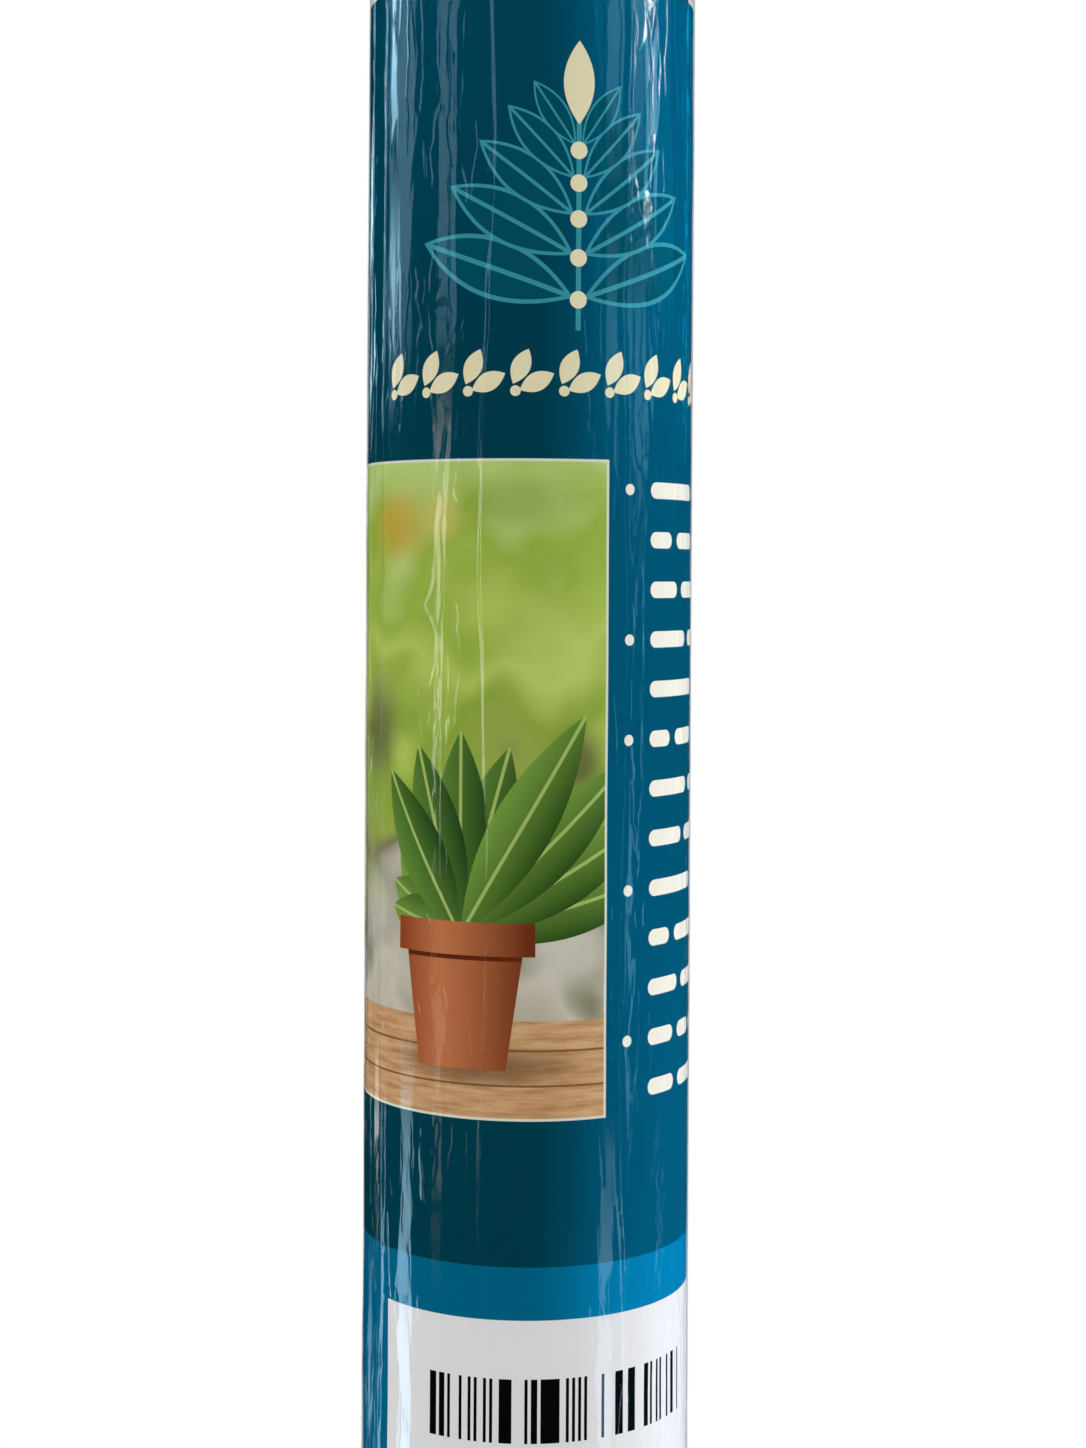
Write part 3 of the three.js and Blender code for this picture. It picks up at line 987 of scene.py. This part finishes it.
# %% Sprig at the head of the label
SPRIG_MIDDLE, SPRIG_FOOT = 6.3, 164.5
STEM_WIDTH, STEM_LENGTH, STEM_BELOW = 0.7, 28, 1  # the last is what reaches below the foot
LEAF_PAIRS = 5
LEAF_LENGTH, LEAF_SHORTER = 22, 3  # of the lowest pair, and how much less for each pair above
LEAF_SLIMNESS = 0.36  # width over length
LEAF_FOOT, LEAF_RISE, LEAF_CLOSER = 3, 5.7, 0.2  # up the stem
LEAF_TILT, LEAF_STEEPER = 20, 9  # degrees
LEAF_GAP = 0.8  # from the stem's middle
SPRIG_LINE, SPRIG_LEAF = "#3FA3B2", "#04586E"
LINE_SHARE, RIB_SHARE = 0.15, 0.08  # of a leaf's half width
BERRY = 1.15
BUD_MIDDLE, BUD_SIZE = (0, 31.5), (11, 4.2)

folded = add("Math", add("Math", across, SPRIG_MIDDLE, operation="SUBTRACT"), operation="ABSOLUTE")
sprig = add("CombineXYZ", folded, add("Math", up, SPRIG_FOOT, operation="SUBTRACT"))
stem_middle = SPRIG_FOOT - STEM_BELOW + STEM_LENGTH / 2
printed = ink(printed, SPRIG_LINE, box_mask((SPRIG_MIDDLE, stem_middle), (STEM_WIDTH, STEM_LENGTH)))
for pair in range(LEAF_PAIRS):
    # higher leaves are shorter, closer together and steeper
    length = LEAF_LENGTH - LEAF_SHORTER * pair
    foot = LEAF_FOOT + LEAF_RISE * pair - LEAF_CLOSER * pair**2
    tilt = LEAF_TILT + LEAF_STEEPER * pair
    reach = LEAF_GAP + length / 2
    middle = (reach * math.cos(math.radians(tilt)), foot + reach * math.sin(math.radians(tilt)))
    inside, depth, _, off_rib = leaf_shape(middle, (length, LEAF_SLIMNESS * length), tilt, sprig)
    within = add("Math", depth, LINE_SHARE, operation="GREATER_THAN")
    beside = add("Math", off_rib, RIB_SHARE, operation="GREATER_THAN")
    printed = ink(printed, SPRIG_LINE, inside)
    printed = ink(printed, SPRIG_LEAF, within, beside)
    printed = ink(printed, CREAM, disc_mask((0, foot), BERRY, sprig))
bud = leaf_shape(BUD_MIDDLE, BUD_SIZE, 90, sprig)[0]
printed = ink(printed, CREAM, bud)
print(f"sprig of {LEAF_PAIRS} pairs of leaves")

# %% Garland under the sprig
GARLAND_UP, GARLAND_HEIGHT = 157.9, 9
GARLAND_STEP, GARLAND_REPEATS = 6.4, 9
GARLAND_LEAF = (5.0, 2.5)
GARLAND_LEAVES = (((-1.2, 0.8), 66), ((0.9, -1.2), 26))  # the middle and tilt of each
GARLAND_BERRY = ((-1.9, -2.4), 0.7)

repeat = add("Math", across, GARLAND_STEP / 2, -GARLAND_STEP / 2, operation="WRAP")
garland = add("CombineXYZ", repeat, add("Math", up, GARLAND_UP, operation="SUBTRACT"))
garland_box = box_mask((GARLAND_STEP, GARLAND_UP), (GARLAND_REPEATS * GARLAND_STEP, GARLAND_HEIGHT))
for middle, tilt in GARLAND_LEAVES:
    printed = ink(printed, CREAM, leaf_shape(middle, GARLAND_LEAF, tilt, garland)[0], garland_box)
printed = ink(printed, CREAM, disc_mask(*GARLAND_BERRY, garland), garland_box)
print(f"garland of {GARLAND_REPEATS} sprouts, {GARLAND_STEP} mm apart")

# %% [markdown]
# The printed picture is a potted plant on a timber shelf in front of a blurred garden. The blur is
# a colour ramp up the picture, pushed about by broad noise, with soft spots over it. The plant is
# a fan of leaf masks from one foot, each shaded across its rib.

# %% Picture: garden behind
PICTURE_MIDDLE, PICTURE_SIZE = (-14.3, 103.3), (49.6, 86.0)
PICTURE_FOOT = PICTURE_MIDDLE[1] - PICTURE_SIZE[1] / 2
BLUR_SIZE, BLUR = 13, 0.7

broad = add("TexNoise", sheet, named={"Scale": 1 / BLUR_SIZE, "Detail": 1.5})
level = add("MapRange", up, PICTURE_FOOT, PICTURE_FOOT + PICTURE_SIZE[1], 0.0, 1.0)
pushed = add("Math", broad, BLUR, -BLUR / 2, operation="MULTIPLY_ADD")
garden_stops = [
    (0.00, "#C9BFA6"),
    (0.20, "#DDD6C4"),
    (0.32, "#8C8A68"),
    (0.42, "#A9BE58"),
    (0.56, "#9FBB48"),
    (0.70, "#C6DD6A"),
    (0.84, "#A9C64E"),
    (1.00, "#CDE58A"),
]
garden = add("ValToRGB", add("Math", level, pushed, operation="ADD"), stops=garden_stops)
garden_spots = [
    # middle, size, amount, colour
    ((-20.0, 138.0), (17, 13), 0.75, "#D8B245"),
    ((-12.0, 139.0), (9, 10), 0.5, "#E4CF6A"),
    ((3.0, 121.0), (18, 22), 0.6, "#D9EC84"),
    ((6.5, 107.0), (10, 13), 0.75, "#5C5544"),
    ((-25.0, 111.0), (15, 20), 0.7, "#66604B"),
    ((-1.0, 141.0), (20, 9), 0.5, "#87A63C"),
    ((4.0, 84.0), (17, 17), 0.8, "#EFE9DC"),
    ((-25.0, 86.0), (17, 18), 0.7, "#E6DFCF"),
]
for *spot, paint in garden_spots:
    garden = ink(garden, paint, soft_disc(*spot))
print(f"garden: {len(garden_stops)} colours up the picture, {len(garden_spots)} soft spots")

# %% Picture: timber shelf
SHELF_TOP = 73.0
PLANK, PLANK_GAP = 4.6, 0.28
PLANK_TILT = math.radians(4)
ALONG_PLANK = (0.12, 1.0, 1.0)
FIGURE_WIDTH = 0.9  # of the wood's figure
POT_SHADOW = ((-6.0, 67.0), (34, 7), 0.75)

boards = add("Mapping", sheet, (0, 0, 0), (0, 0, PLANK_TILT), ALONG_PLANK)
figure = add("TexNoise", boards, named={"Scale": 1 / FIGURE_WIDTH, "Detail": 4.0, "Roughness": 0.65})
timber = add("ValToRGB", figure, stops=[(0.3, "#C08A5B"), (0.55, "#E2B382"), (0.75, "#F0CB9C")])
board = add("Math", up, PLANK, 0.0, operation="WRAP")
timber = ink(timber, "#94683F", add("Math", board, PLANK_GAP, operation="LESS_THAN"))
picture = ink(garden, timber, add("Math", up, SHELF_TOP, operation="LESS_THAN"))
picture = ink(picture, "#7A5536", soft_disc(*POT_SHADOW))
print(f"shelf of planks {PLANK} mm high")

# %% Picture: plant
PLANT_FOOT = (-9.0, 84.0)
PLANT_LEAVES = 11
FAN_START, FAN_SPREAD = 15, 150  # degrees
LONGEST_LEAF, NEXT_SHORTER, OUTER_SHORTER = 36, 9, 12
BLADE_WIDTH, WIDER_BY_LENGTH = 6.0, 0.06
LEAF_GREENS = (("#33591F", "#85B04A"), ("#2A4F22", "#6E9C3F"), ("#41702B", "#9CC257"))
LEAF_RIB = "#B5CF74"
RIB_WIDTH = 0.06  # as a share of a leaf's half width

for order in range(PLANT_LEAVES):
    # every fourth place of the fan in turn, so that the leaves overlap both ways, with the longest
    # in the middle
    fan = (order * 4) % PLANT_LEAVES / (PLANT_LEAVES - 1)
    lean = math.radians(FAN_START + FAN_SPREAD * fan)
    length = LONGEST_LEAF - NEXT_SHORTER * (order % 3) - OUTER_SHORTER * abs(fan - 0.5)
    middle = (PLANT_FOOT[0] + length / 2 * math.cos(lean), PLANT_FOOT[1] + length / 2 * math.sin(lean))
    size = (length, BLADE_WIDTH + WIDER_BY_LENGTH * length)
    inside, _, side, off_rib = leaf_shape(middle, size, math.degrees(lean))
    dark, light = LEAF_GREENS[order % len(LEAF_GREENS)]
    blade = ink(linear(dark), light, add("MapRange", side, -1.0, 1.0, 0.0, 1.0))
    blade = ink(blade, LEAF_RIB, add("Math", off_rib, RIB_WIDTH, operation="LESS_THAN"))
    picture = ink(picture, blade, inside)
print(f"plant of {PLANT_LEAVES} leaves")

# %% Picture: pot
POT_MIDDLE, POT_SIZE = (PLANT_FOOT[0], 75.5), (18.5, 18.0)
POT_HALF, POT_FLARE = 0.82, 0.14  # half its width, as a share, and how much more or less at its ends
POT_RIM_MIDDLE, POT_RIM_SIZE = (PLANT_FOOT[0], 83.6), (20.2, 4.4)
RIM_SHADOW_DROP, RIM_SHADOW = 2.5, 0.6

pot = add("SeparateXYZ", local(POT_MIDDLE, POT_SIZE)).node
pot_side, pot_up = pot.outputs["X"], pot.outputs["Y"]
pot_half = add("Math", pot_up, POT_FLARE, POT_HALF, operation="MULTIPLY_ADD")
narrow = add("Math", add("Math", pot_side, operation="ABSOLUTE"), pot_half, operation="LESS_THAN")
low_enough = add("Math", add("Math", pot_up, operation="ABSOLUTE"), 1.0, operation="LESS_THAN")
from_left = add("MapRange", pot_side, -1.0, 1.0, 0.0, 1.0)
clay = add("ValToRGB", from_left, stops=[(0.0, "#A24E28"), (1.0, "#7C371B"), (0.36, "#D98555")])
picture = ink(picture, clay, narrow, low_enough)
picture = ink(picture, clay, box_mask(POT_RIM_MIDDLE, POT_RIM_SIZE))
shadow_middle = (PLANT_FOOT[0], POT_RIM_MIDDLE[1] - RIM_SHADOW_DROP)
picture = ink(picture, "#6B2E16", narrow, box_mask(shadow_middle, (POT_SIZE[0], RIM_SHADOW)))
print(f"clay pot {POT_SIZE[0]} mm wide")

# %% Picture on the label
PICTURE_OUTLINE = 0.35

outlined = [side_length + 2 * PICTURE_OUTLINE for side_length in PICTURE_SIZE]
printed = ink(printed, "#EEF5E0", box_mask(PICTURE_MIDDLE, outlined))
printed = ink(printed, picture, box_mask(PICTURE_MIDDLE, PICTURE_SIZE))
print(f"picture {PICTURE_SIZE[0]} x {PICTURE_SIZE[1]} mm")

# %% [markdown]
# Beside the picture stand rows of plain rounded bars, with a dot before every few rows. A mask for
# each bar would take hundreds of nodes, so one pattern repeats down the rows and is broken at random
# along them. At the foot, a white panel carries a block of upright stripes of random width.

# %% Rows of bars
ROWS, ROW_STEP, TOP_ROW, ROW_START = 13, 6.65, 142.8, 18.0
ROW_ENDS = (36.0, 47.0)
ROWS_ACROSS, ROWS_WIDTH = 40, 60
ROW_SHIFT = 13.7  # in bars, so that no two rows are broken alike
BAR_HEIGHT = 2.2
BAR_LENGTH, BAR_GAP, SHORTEST_BAR = 9.5, 1.5, 4.5  # the first is a mean, with its gap

below = add("Math", TOP_ROW + ROW_STEP / 2, up, operation="SUBTRACT")
from_top = add("Math", below, ROW_STEP, operation="DIVIDE")
row = add("Math", from_top, operation="FLOOR")
off_row = add("Math", add("Math", from_top, row, operation="SUBTRACT"), 0.5, operation="SUBTRACT")
off_row = add("Math", off_row, ROW_STEP, operation="MULTIPLY")
row_offset = add("Math", row, ROW_SHIFT, operation="MULTIPLY")
along_row = add("Math", across, 1 / BAR_LENGTH, row_offset, operation="MULTIPLY_ADD")
gap = add("TexVoronoi", along_row, 1.0, voronoi_dimensions="1D", feature="DISTANCE_TO_EDGE")
row_end = add("MapRange", add("TexWhiteNoise", row, noise_dimensions="1D"), 0.0, 1.0, *ROW_ENDS)
# how far a point is from the nearest end of its bar, then whether it is inside the rounded outline
inward = add("Math", gap, BAR_LENGTH, -BAR_GAP / 2, operation="MULTIPLY_ADD")
first_bar = add("Math", ROW_START + SHORTEST_BAR, across, operation="SUBTRACT")
inward = add("Math", inward, first_bar, operation="MAXIMUM")
inward = add("Math", inward, add("Math", across, ROW_START, operation="SUBTRACT"), operation="MINIMUM")
inward = add("Math", inward, add("Math", row_end, across, operation="SUBTRACT"), operation="MINIMUM")
past_end = add("Math", add("Math", BAR_HEIGHT / 2, inward, operation="SUBTRACT"), 0.0, operation="MAXIMUM")
rounded = add("VectorMath", add("CombineXYZ", past_end, off_row), operation="LENGTH")
bars = add("Math", rounded, BAR_HEIGHT / 2, operation="LESS_THAN")
rows_middle = TOP_ROW - ROW_STEP * (ROWS - 1) / 2
rows_box = box_mask((ROWS_ACROSS, rows_middle), (ROWS_WIDTH, ROWS * ROW_STEP))
printed = ink(printed, PALE, bars, rows_box)
print(f"{ROWS} rows of bars, {ROW_STEP} mm apart")

# %% Dots before the rows
DOTTED_ROWS = (0, 3, 5, 8, 11)
DOT_ACROSS, DOT_RADIUS = 14.2, 0.75

for dotted in DOTTED_ROWS:
    printed = ink(printed, PALE, disc_mask((DOT_ACROSS, TOP_ROW - ROW_STEP * dotted), DOT_RADIUS))
print(f"{len(DOTTED_ROWS)} dots")

# %% Striped panel
PANEL_MIDDLE, PANEL_SIZE = (7.3, 18.95), (57.4, 29.9)
STRIPES_MIDDLE, STRIPES_SIZE = (6.6, 22.0), (39.6, 8.4)
STRIPE = 0.42

stripe = add("Math", add("Math", across, 1 / STRIPE, operation="MULTIPLY"), operation="FLOOR")
chosen = add("Math", add("TexWhiteNoise", stripe, noise_dimensions="1D"), 0.5, operation="GREATER_THAN")
printed = ink(printed, "#FCFCFC", box_mask(PANEL_MIDDLE, PANEL_SIZE))
printed = ink(printed, "#0A0B0C", chosen, box_mask(STRIPES_MIDDLE, STRIPES_SIZE))
print(f"stripes {STRIPE} mm wide on a panel {PANEL_SIZE[0]} mm wide")

# %% [markdown]
# The paper is smooth and thinly coated. It has no sheen of its own here, because all its gloss is the
# film's. Its back is plain and rougher. Its two sides could be two sheets, but then the edge would
# gape. So a Solidify modifier gives the wall its thickness last, inwards, which leaves the printed
# side where it was.

# %% Paper
GRAIN_SIZE = 0.5  # in the sheet's own mm
PULP_SIZE = 0.6 * MM  # like the grain, coarser than real paper fibres, so that it shows
PAPER_GRAIN_DEPTH, PULP_DEPTH = 0.02 * MM, 0.03 * MM

grain = add("TexNoise", sheet, named={"Scale": 1 / GRAIN_SIZE, "Detail": 2.0})
bump = add("Bump", 0.15, PAPER_GRAIN_DEPTH, named={"Height": grain})
coated = {"Base Color": printed, "Roughness": 0.5, "Specular IOR Level": 0.0, "Normal": bump}
add("OutputMaterial", add("BsdfPrincipled", named=coated))

# off-white and chalky
paper_back, add = new_material("uncoated back of the paper")
place = add("TexCoord").node.outputs["Object"]
pulp = add("TexNoise", place, named={"Scale": 1 / PULP_SIZE, "Detail": 4.0, "Roughness": 0.7})
tone = add("ValToRGB", pulp, stops=[(0.3, "#DFDCD4"), (0.7, "#F0EEE8")])
bump = add("Bump", 0.3, PULP_DEPTH, named={"Height": pulp})
uncoated = {"Base Color": tone, "Roughness": 0.9, "Normal": bump}
add("OutputMaterial", add("BsdfPrincipled", named=uncoated))

# %% Label piece
PAPER_SHARE = 0.9  # of the sheet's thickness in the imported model, so that the wall stays inside it

label = finished(label_bm, "label_sheet", "wrapper", label_print)
label.data.materials.append(paper_back)
paper_wall = label.modifiers.new("paper", "SOLIDIFY")
paper_wall.thickness = SHEET_THICKNESS * PAPER_SHARE
paper_wall.offset = -1
paper_wall.material_offset = 1
paper_wall.material_offset_rim = 1
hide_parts("label_sleeve")

# %% [markdown]
# ## Clear film
#
# Thin clear film is shrunk over the label and a little of the coir at each end. It never lies quite
# smooth: it stands off the paper in broad waves, and long upright creases run down it where it was
# drawn tight. Those are what the lights catch. A cloth simulation could crumple it, but not where it
# should, so the film is rolled up as the label was, and its wrinkles are worked out. Each crease is
# a low ridge that wanders as it climbs and fades at both ends. A few stand where they show in the
# photograph, and the rest fall at random, closer together to the right, where the film is crumpled.

# %% Where the creases are
LONG_CREASES = (-59, -13, 34)  # degrees from the middle of the front
LONG_BOTTOM, LONG_LENGTH, LONG_HEIGHT = -20, 290, 0.36  # mm: they run past both ends of the film
LOOSE_CREASES, CRUMPLES = 24, 26
CRUMPLE_BEARINGS = (22, 78)

crease_draw = random.Random(23)
creases = []


def add_crease(bearing, bottom, length, tall, wide, slant):
    """A ridge at a bearing in degrees, with sizes in mm. It leans by slant for each mm it climbs."""
    start = film_low.z + bottom * MM
    creases.append((math.radians(bearing - 90), start, start + length * MM, tall * MM, wide * MM, slant))


for bearing in LONG_CREASES:
    add_crease(bearing, LONG_BOTTOM, LONG_LENGTH, LONG_HEIGHT, crease_draw.uniform(0.6, 0.9), 0.0)
for _ in range(LOOSE_CREASES):
    add_crease(
        bearing=crease_draw.uniform(-180, 180),
        bottom=crease_draw.uniform(-30, 200),
        length=crease_draw.uniform(40, 180),
        tall=crease_draw.uniform(0.05, 0.16),
        wide=crease_draw.uniform(0.55, 1.3),
        slant=crease_draw.gauss(0, 0.03),
    )
for _ in range(CRUMPLES):
    add_crease(
        bearing=crease_draw.uniform(*CRUMPLE_BEARINGS),
        bottom=crease_draw.uniform(60, 180),
        length=crease_draw.uniform(14, 60),
        tall=crease_draw.uniform(0.08, 0.18),
        wide=crease_draw.uniform(0.45, 0.75),
        slant=crease_draw.gauss(0, 0.16),
    )
print(f"{len(creases)} creases")

# %% How high the creases stand
CREASE_FADE = 15 * MM
CREASE_WANDERS = ((1.4 * MM, 45 * MM, 0), (0.4 * MM, 9 * MM, 5))  # how far, over what height, noise row
UNEVEN_LENGTH, UNEVEN_ROW = 16 * MM, 11
EVEN_SHARE, UNEVEN_SHARE = 0.65, 0.5  # of a crease's height
CREASE_COLUMN = 7.3  # in the noise, from one crease to the next


def crease_height(angle, height):
    """How far all the creases together lift the film at a point."""
    total = 0.0
    for i, (middle, bottom, top, tall, wide, slant) in enumerate(creases):
        if not bottom < height < top:
            continue
        column = CREASE_COLUMN * i
        fade = smooth(bottom, bottom + CREASE_FADE, height) * (1 - smooth(top - CREASE_FADE, top, height))
        wander = slant * (height - (bottom + top) / 2)
        for far, length, noise_row in CREASE_WANDERS:
            wander += far * noise.noise(Vector((height / length, column, noise_row)))
        off = math.remainder(angle - middle, math.tau) * LABEL_RADIUS - wander
        if abs(off) < wide:
            uneven = noise.noise(Vector((height / UNEVEN_LENGTH, column, UNEVEN_ROW)))
            share = EVEN_SHARE + UNEVEN_SHARE * uneven
            total += tall * fade * share * (1 + math.cos(math.pi * off / wide)) / 2
    return total


print(f"tallest crease {max(crease[3] for crease in creases) / MM:.2f} mm")

# %% How far the film stands off
FILM_WAVES = (
    # height, length across and length up the pole: the waves are longer up than across
    (0.14 * MM, 11 * MM, 70 * MM),
    (0.025 * MM, 3 * MM, 26 * MM),
    (0.004 * MM, 1.3 * MM, 9 * MM),
)


def film_lift(turn):
    """How far the film rises over the label's lap, on both sides of it."""
    return max(lap_lift(turn), LAP_LIFT * (1 - smooth(lap_angle, lap_angle + LAP_RISE, turn)))


def film_wave(angle, height):
    """How far the film's waves stand off the paper at a point."""
    at = round_pole(LABEL_RADIUS, angle)
    stand_off = FILM_WAVES[0][0]
    for tall, wide, long in FILM_WAVES:
        stand_off += tall * noise.noise(Vector((at.x / wide, at.y / wide, height / long)))
    return stand_off


print(f"the film's waves reach {2 * FILM_WAVES[0][0] / MM:.2f} mm")

# %% Film sleeve
FILM_COLUMNS, FILM_ROWS = 480, 96
FILM_GAP = 0.08 * MM
CLING_RADIUS = FIBRE_CEILING + 0.2 * MM  # past the label the film shrinks to just over the hairs
CLING_FROM, CLING_WHOLE = 0.02, 0.5  # of the film's reach past the label
PUCKER, PUCKER_CELLS = 0.3 * MM, Vector((5, 5, 1.5))  # height, and noise cells in a label radius
RAGGED_CUT, RAGGED_CELLS = 1.2 * MM, 3

film_bm = flat_grid(FILM_COLUMNS, FILM_ROWS)
for v in film_bm.verts:
    turn = (v.co.x + 1) / 2 * math.tau
    height = film_low.z + (v.co.y + 1) / 2 * (film_high.z - film_low.z)
    angle = sheet_start + turn
    past_label = max(label_low.z - height, height - label_high.z, 0) / (film_high.z - label_high.z)
    at = round_pole(1, angle, height / LABEL_RADIUS)
    wrinkle = film_wave(angle, height) + crease_height(angle, height)
    radius = LABEL_RADIUS + FILM_GAP + film_lift(turn) + max(paper_wave(angle, height), 0) + wrinkle
    pucker = PUCKER * (1 + noise.noise(at * PUCKER_CELLS))
    cling = smooth(CLING_FROM, CLING_WHOLE, past_label)
    radius += (CLING_RADIUS + pucker + wrinkle / 2 - radius) * cling
    ragged = RAGGED_CUT * noise.noise(at * RAGGED_CELLS)
    v.co = round_pole(radius, angle, height + past_label * ragged)
bmesh.ops.remove_doubles(film_bm, verts=film_bm.verts, dist=SAME_POINT)
print(f"film rolled up from {FILM_COLUMNS} columns and {FILM_ROWS} rows")

# %% [markdown]
# A glass shader would bend the light and shade the paper, and film this thin does neither, so it is a
# mix of a clear shader and a mirror. How much it mirrors grows towards its edges, as on any clear
# plastic, but only to a half, because the film clings to the paper. What is too fine for the mesh is
# bump: a net of sharp crinkles, drawn out up the pole and stronger in patches, and fine streaks that
# are left from the making of the film.

# %% Film material
FACE_ON_SHARE, EDGE_ON_SHARE = 0.018, 0.5  # of the light, mirrored by each of the film's two faces
FILM_ROUGHNESS = 0.04
DRAWN_UP = (1, 1, 0.1)
CRINKLE_CELL = 2.4 * MM
CRINKLE_RIDGE = 0.13  # half the width of a ridge, as a share of a cell
CRINKLE_BEND, CRINKLE_BEND_SIZE = 2.4 * MM, 7 * MM
PATCH_SIZE, PATCH_EDGE = 14 * MM, (0.4, 0.62)
LEAST_CRUMPLED = 0.1
LOOSER_RIGHT = 0.08  # how much more the film is crumpled right of the picture
LOOSER_FROM, LOOSER_TO = 4 * MM, 16 * MM
RIDGES_TO_STREAKS = 2.8
STREAK_WIDTH = 0.8 * MM
RELIEF = 0.022 * MM

# unseen, but for bright lines where it mirrors a light
clear_film, add = new_material("clear shrink film")
place = add("TexCoord").node.outputs["Object"]
drawn = add("Mapping", place, named={"Scale": DRAWN_UP})
bend = add("TexNoise", place, named={"Scale": 1 / CRINKLE_BEND_SIZE, "Detail": 2.0}).node.outputs["Color"]
bent = add("VectorMath", bend, (CRINKLE_BEND, CRINKLE_BEND, 0.0), drawn, operation="MULTIPLY_ADD")
cells = add("TexVoronoi", bent, named={"Scale": 1 / CRINKLE_CELL}, feature="DISTANCE_TO_EDGE")
ridges = add("MapRange", cells, 0.0, CRINKLE_RIDGE, 1.0, 0.0, **SMOOTH)
patches = add("TexNoise", place, named={"Scale": 1 / PATCH_SIZE, "Detail": 1.0})
rightward = add("SeparateXYZ", place).node.outputs["X"]
looser = add("MapRange", rightward, LOOSER_FROM, LOOSER_TO, 0.0, LOOSER_RIGHT)
crumpled = add("MapRange", add("Math", patches, looser), *PATCH_EDGE, LEAST_CRUMPLED, 1.0)
ridges = add("Math", ridges, crumpled, operation="MULTIPLY")
streaks = add("TexNoise", drawn, named={"Scale": 1 / STREAK_WIDTH, "Detail": 2.0, "Roughness": 0.55})
relief = add("Math", ridges, RIDGES_TO_STREAKS, streaks, operation="MULTIPLY_ADD")
bump = add("Bump", 0.6, RELIEF, named={"Height": relief})
gloss = add("BsdfAnisotropic", WHITE, FILM_ROUGHNESS, named={"Normal": bump})
facing = add("LayerWeight", 0.5, bump).node.outputs["Facing"]
edge_on = add("Math", facing, 5.0, operation="POWER")
share = add("MapRange", edge_on, 0.0, 1.0, FACE_ON_SHARE, EDGE_ON_SHARE)
add("OutputMaterial", add("MixShader", share, add("BsdfTransparent"), gloss))

# %% Film piece
FILM_THICKNESS = 0.05 * MM

film = finished(film_bm, "film_sleeve_skin", "wrapper", clear_film, sharp_angle=180)
film_wall = film.modifiers.new("thin wall", "SOLIDIFY")
film_wall.thickness = FILM_THICKNESS
film_wall.offset = -1
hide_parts("film_sleeve")

# %% [markdown]
# ## Colour
#
# Blender's default view softens what is bright, and would turn the white backdrop grey. Standard
# leaves colours as they are written.

# %% Finish
bpy.context.scene.view_settings.view_transform = "Standard"
bpy.context.view_layer.update()
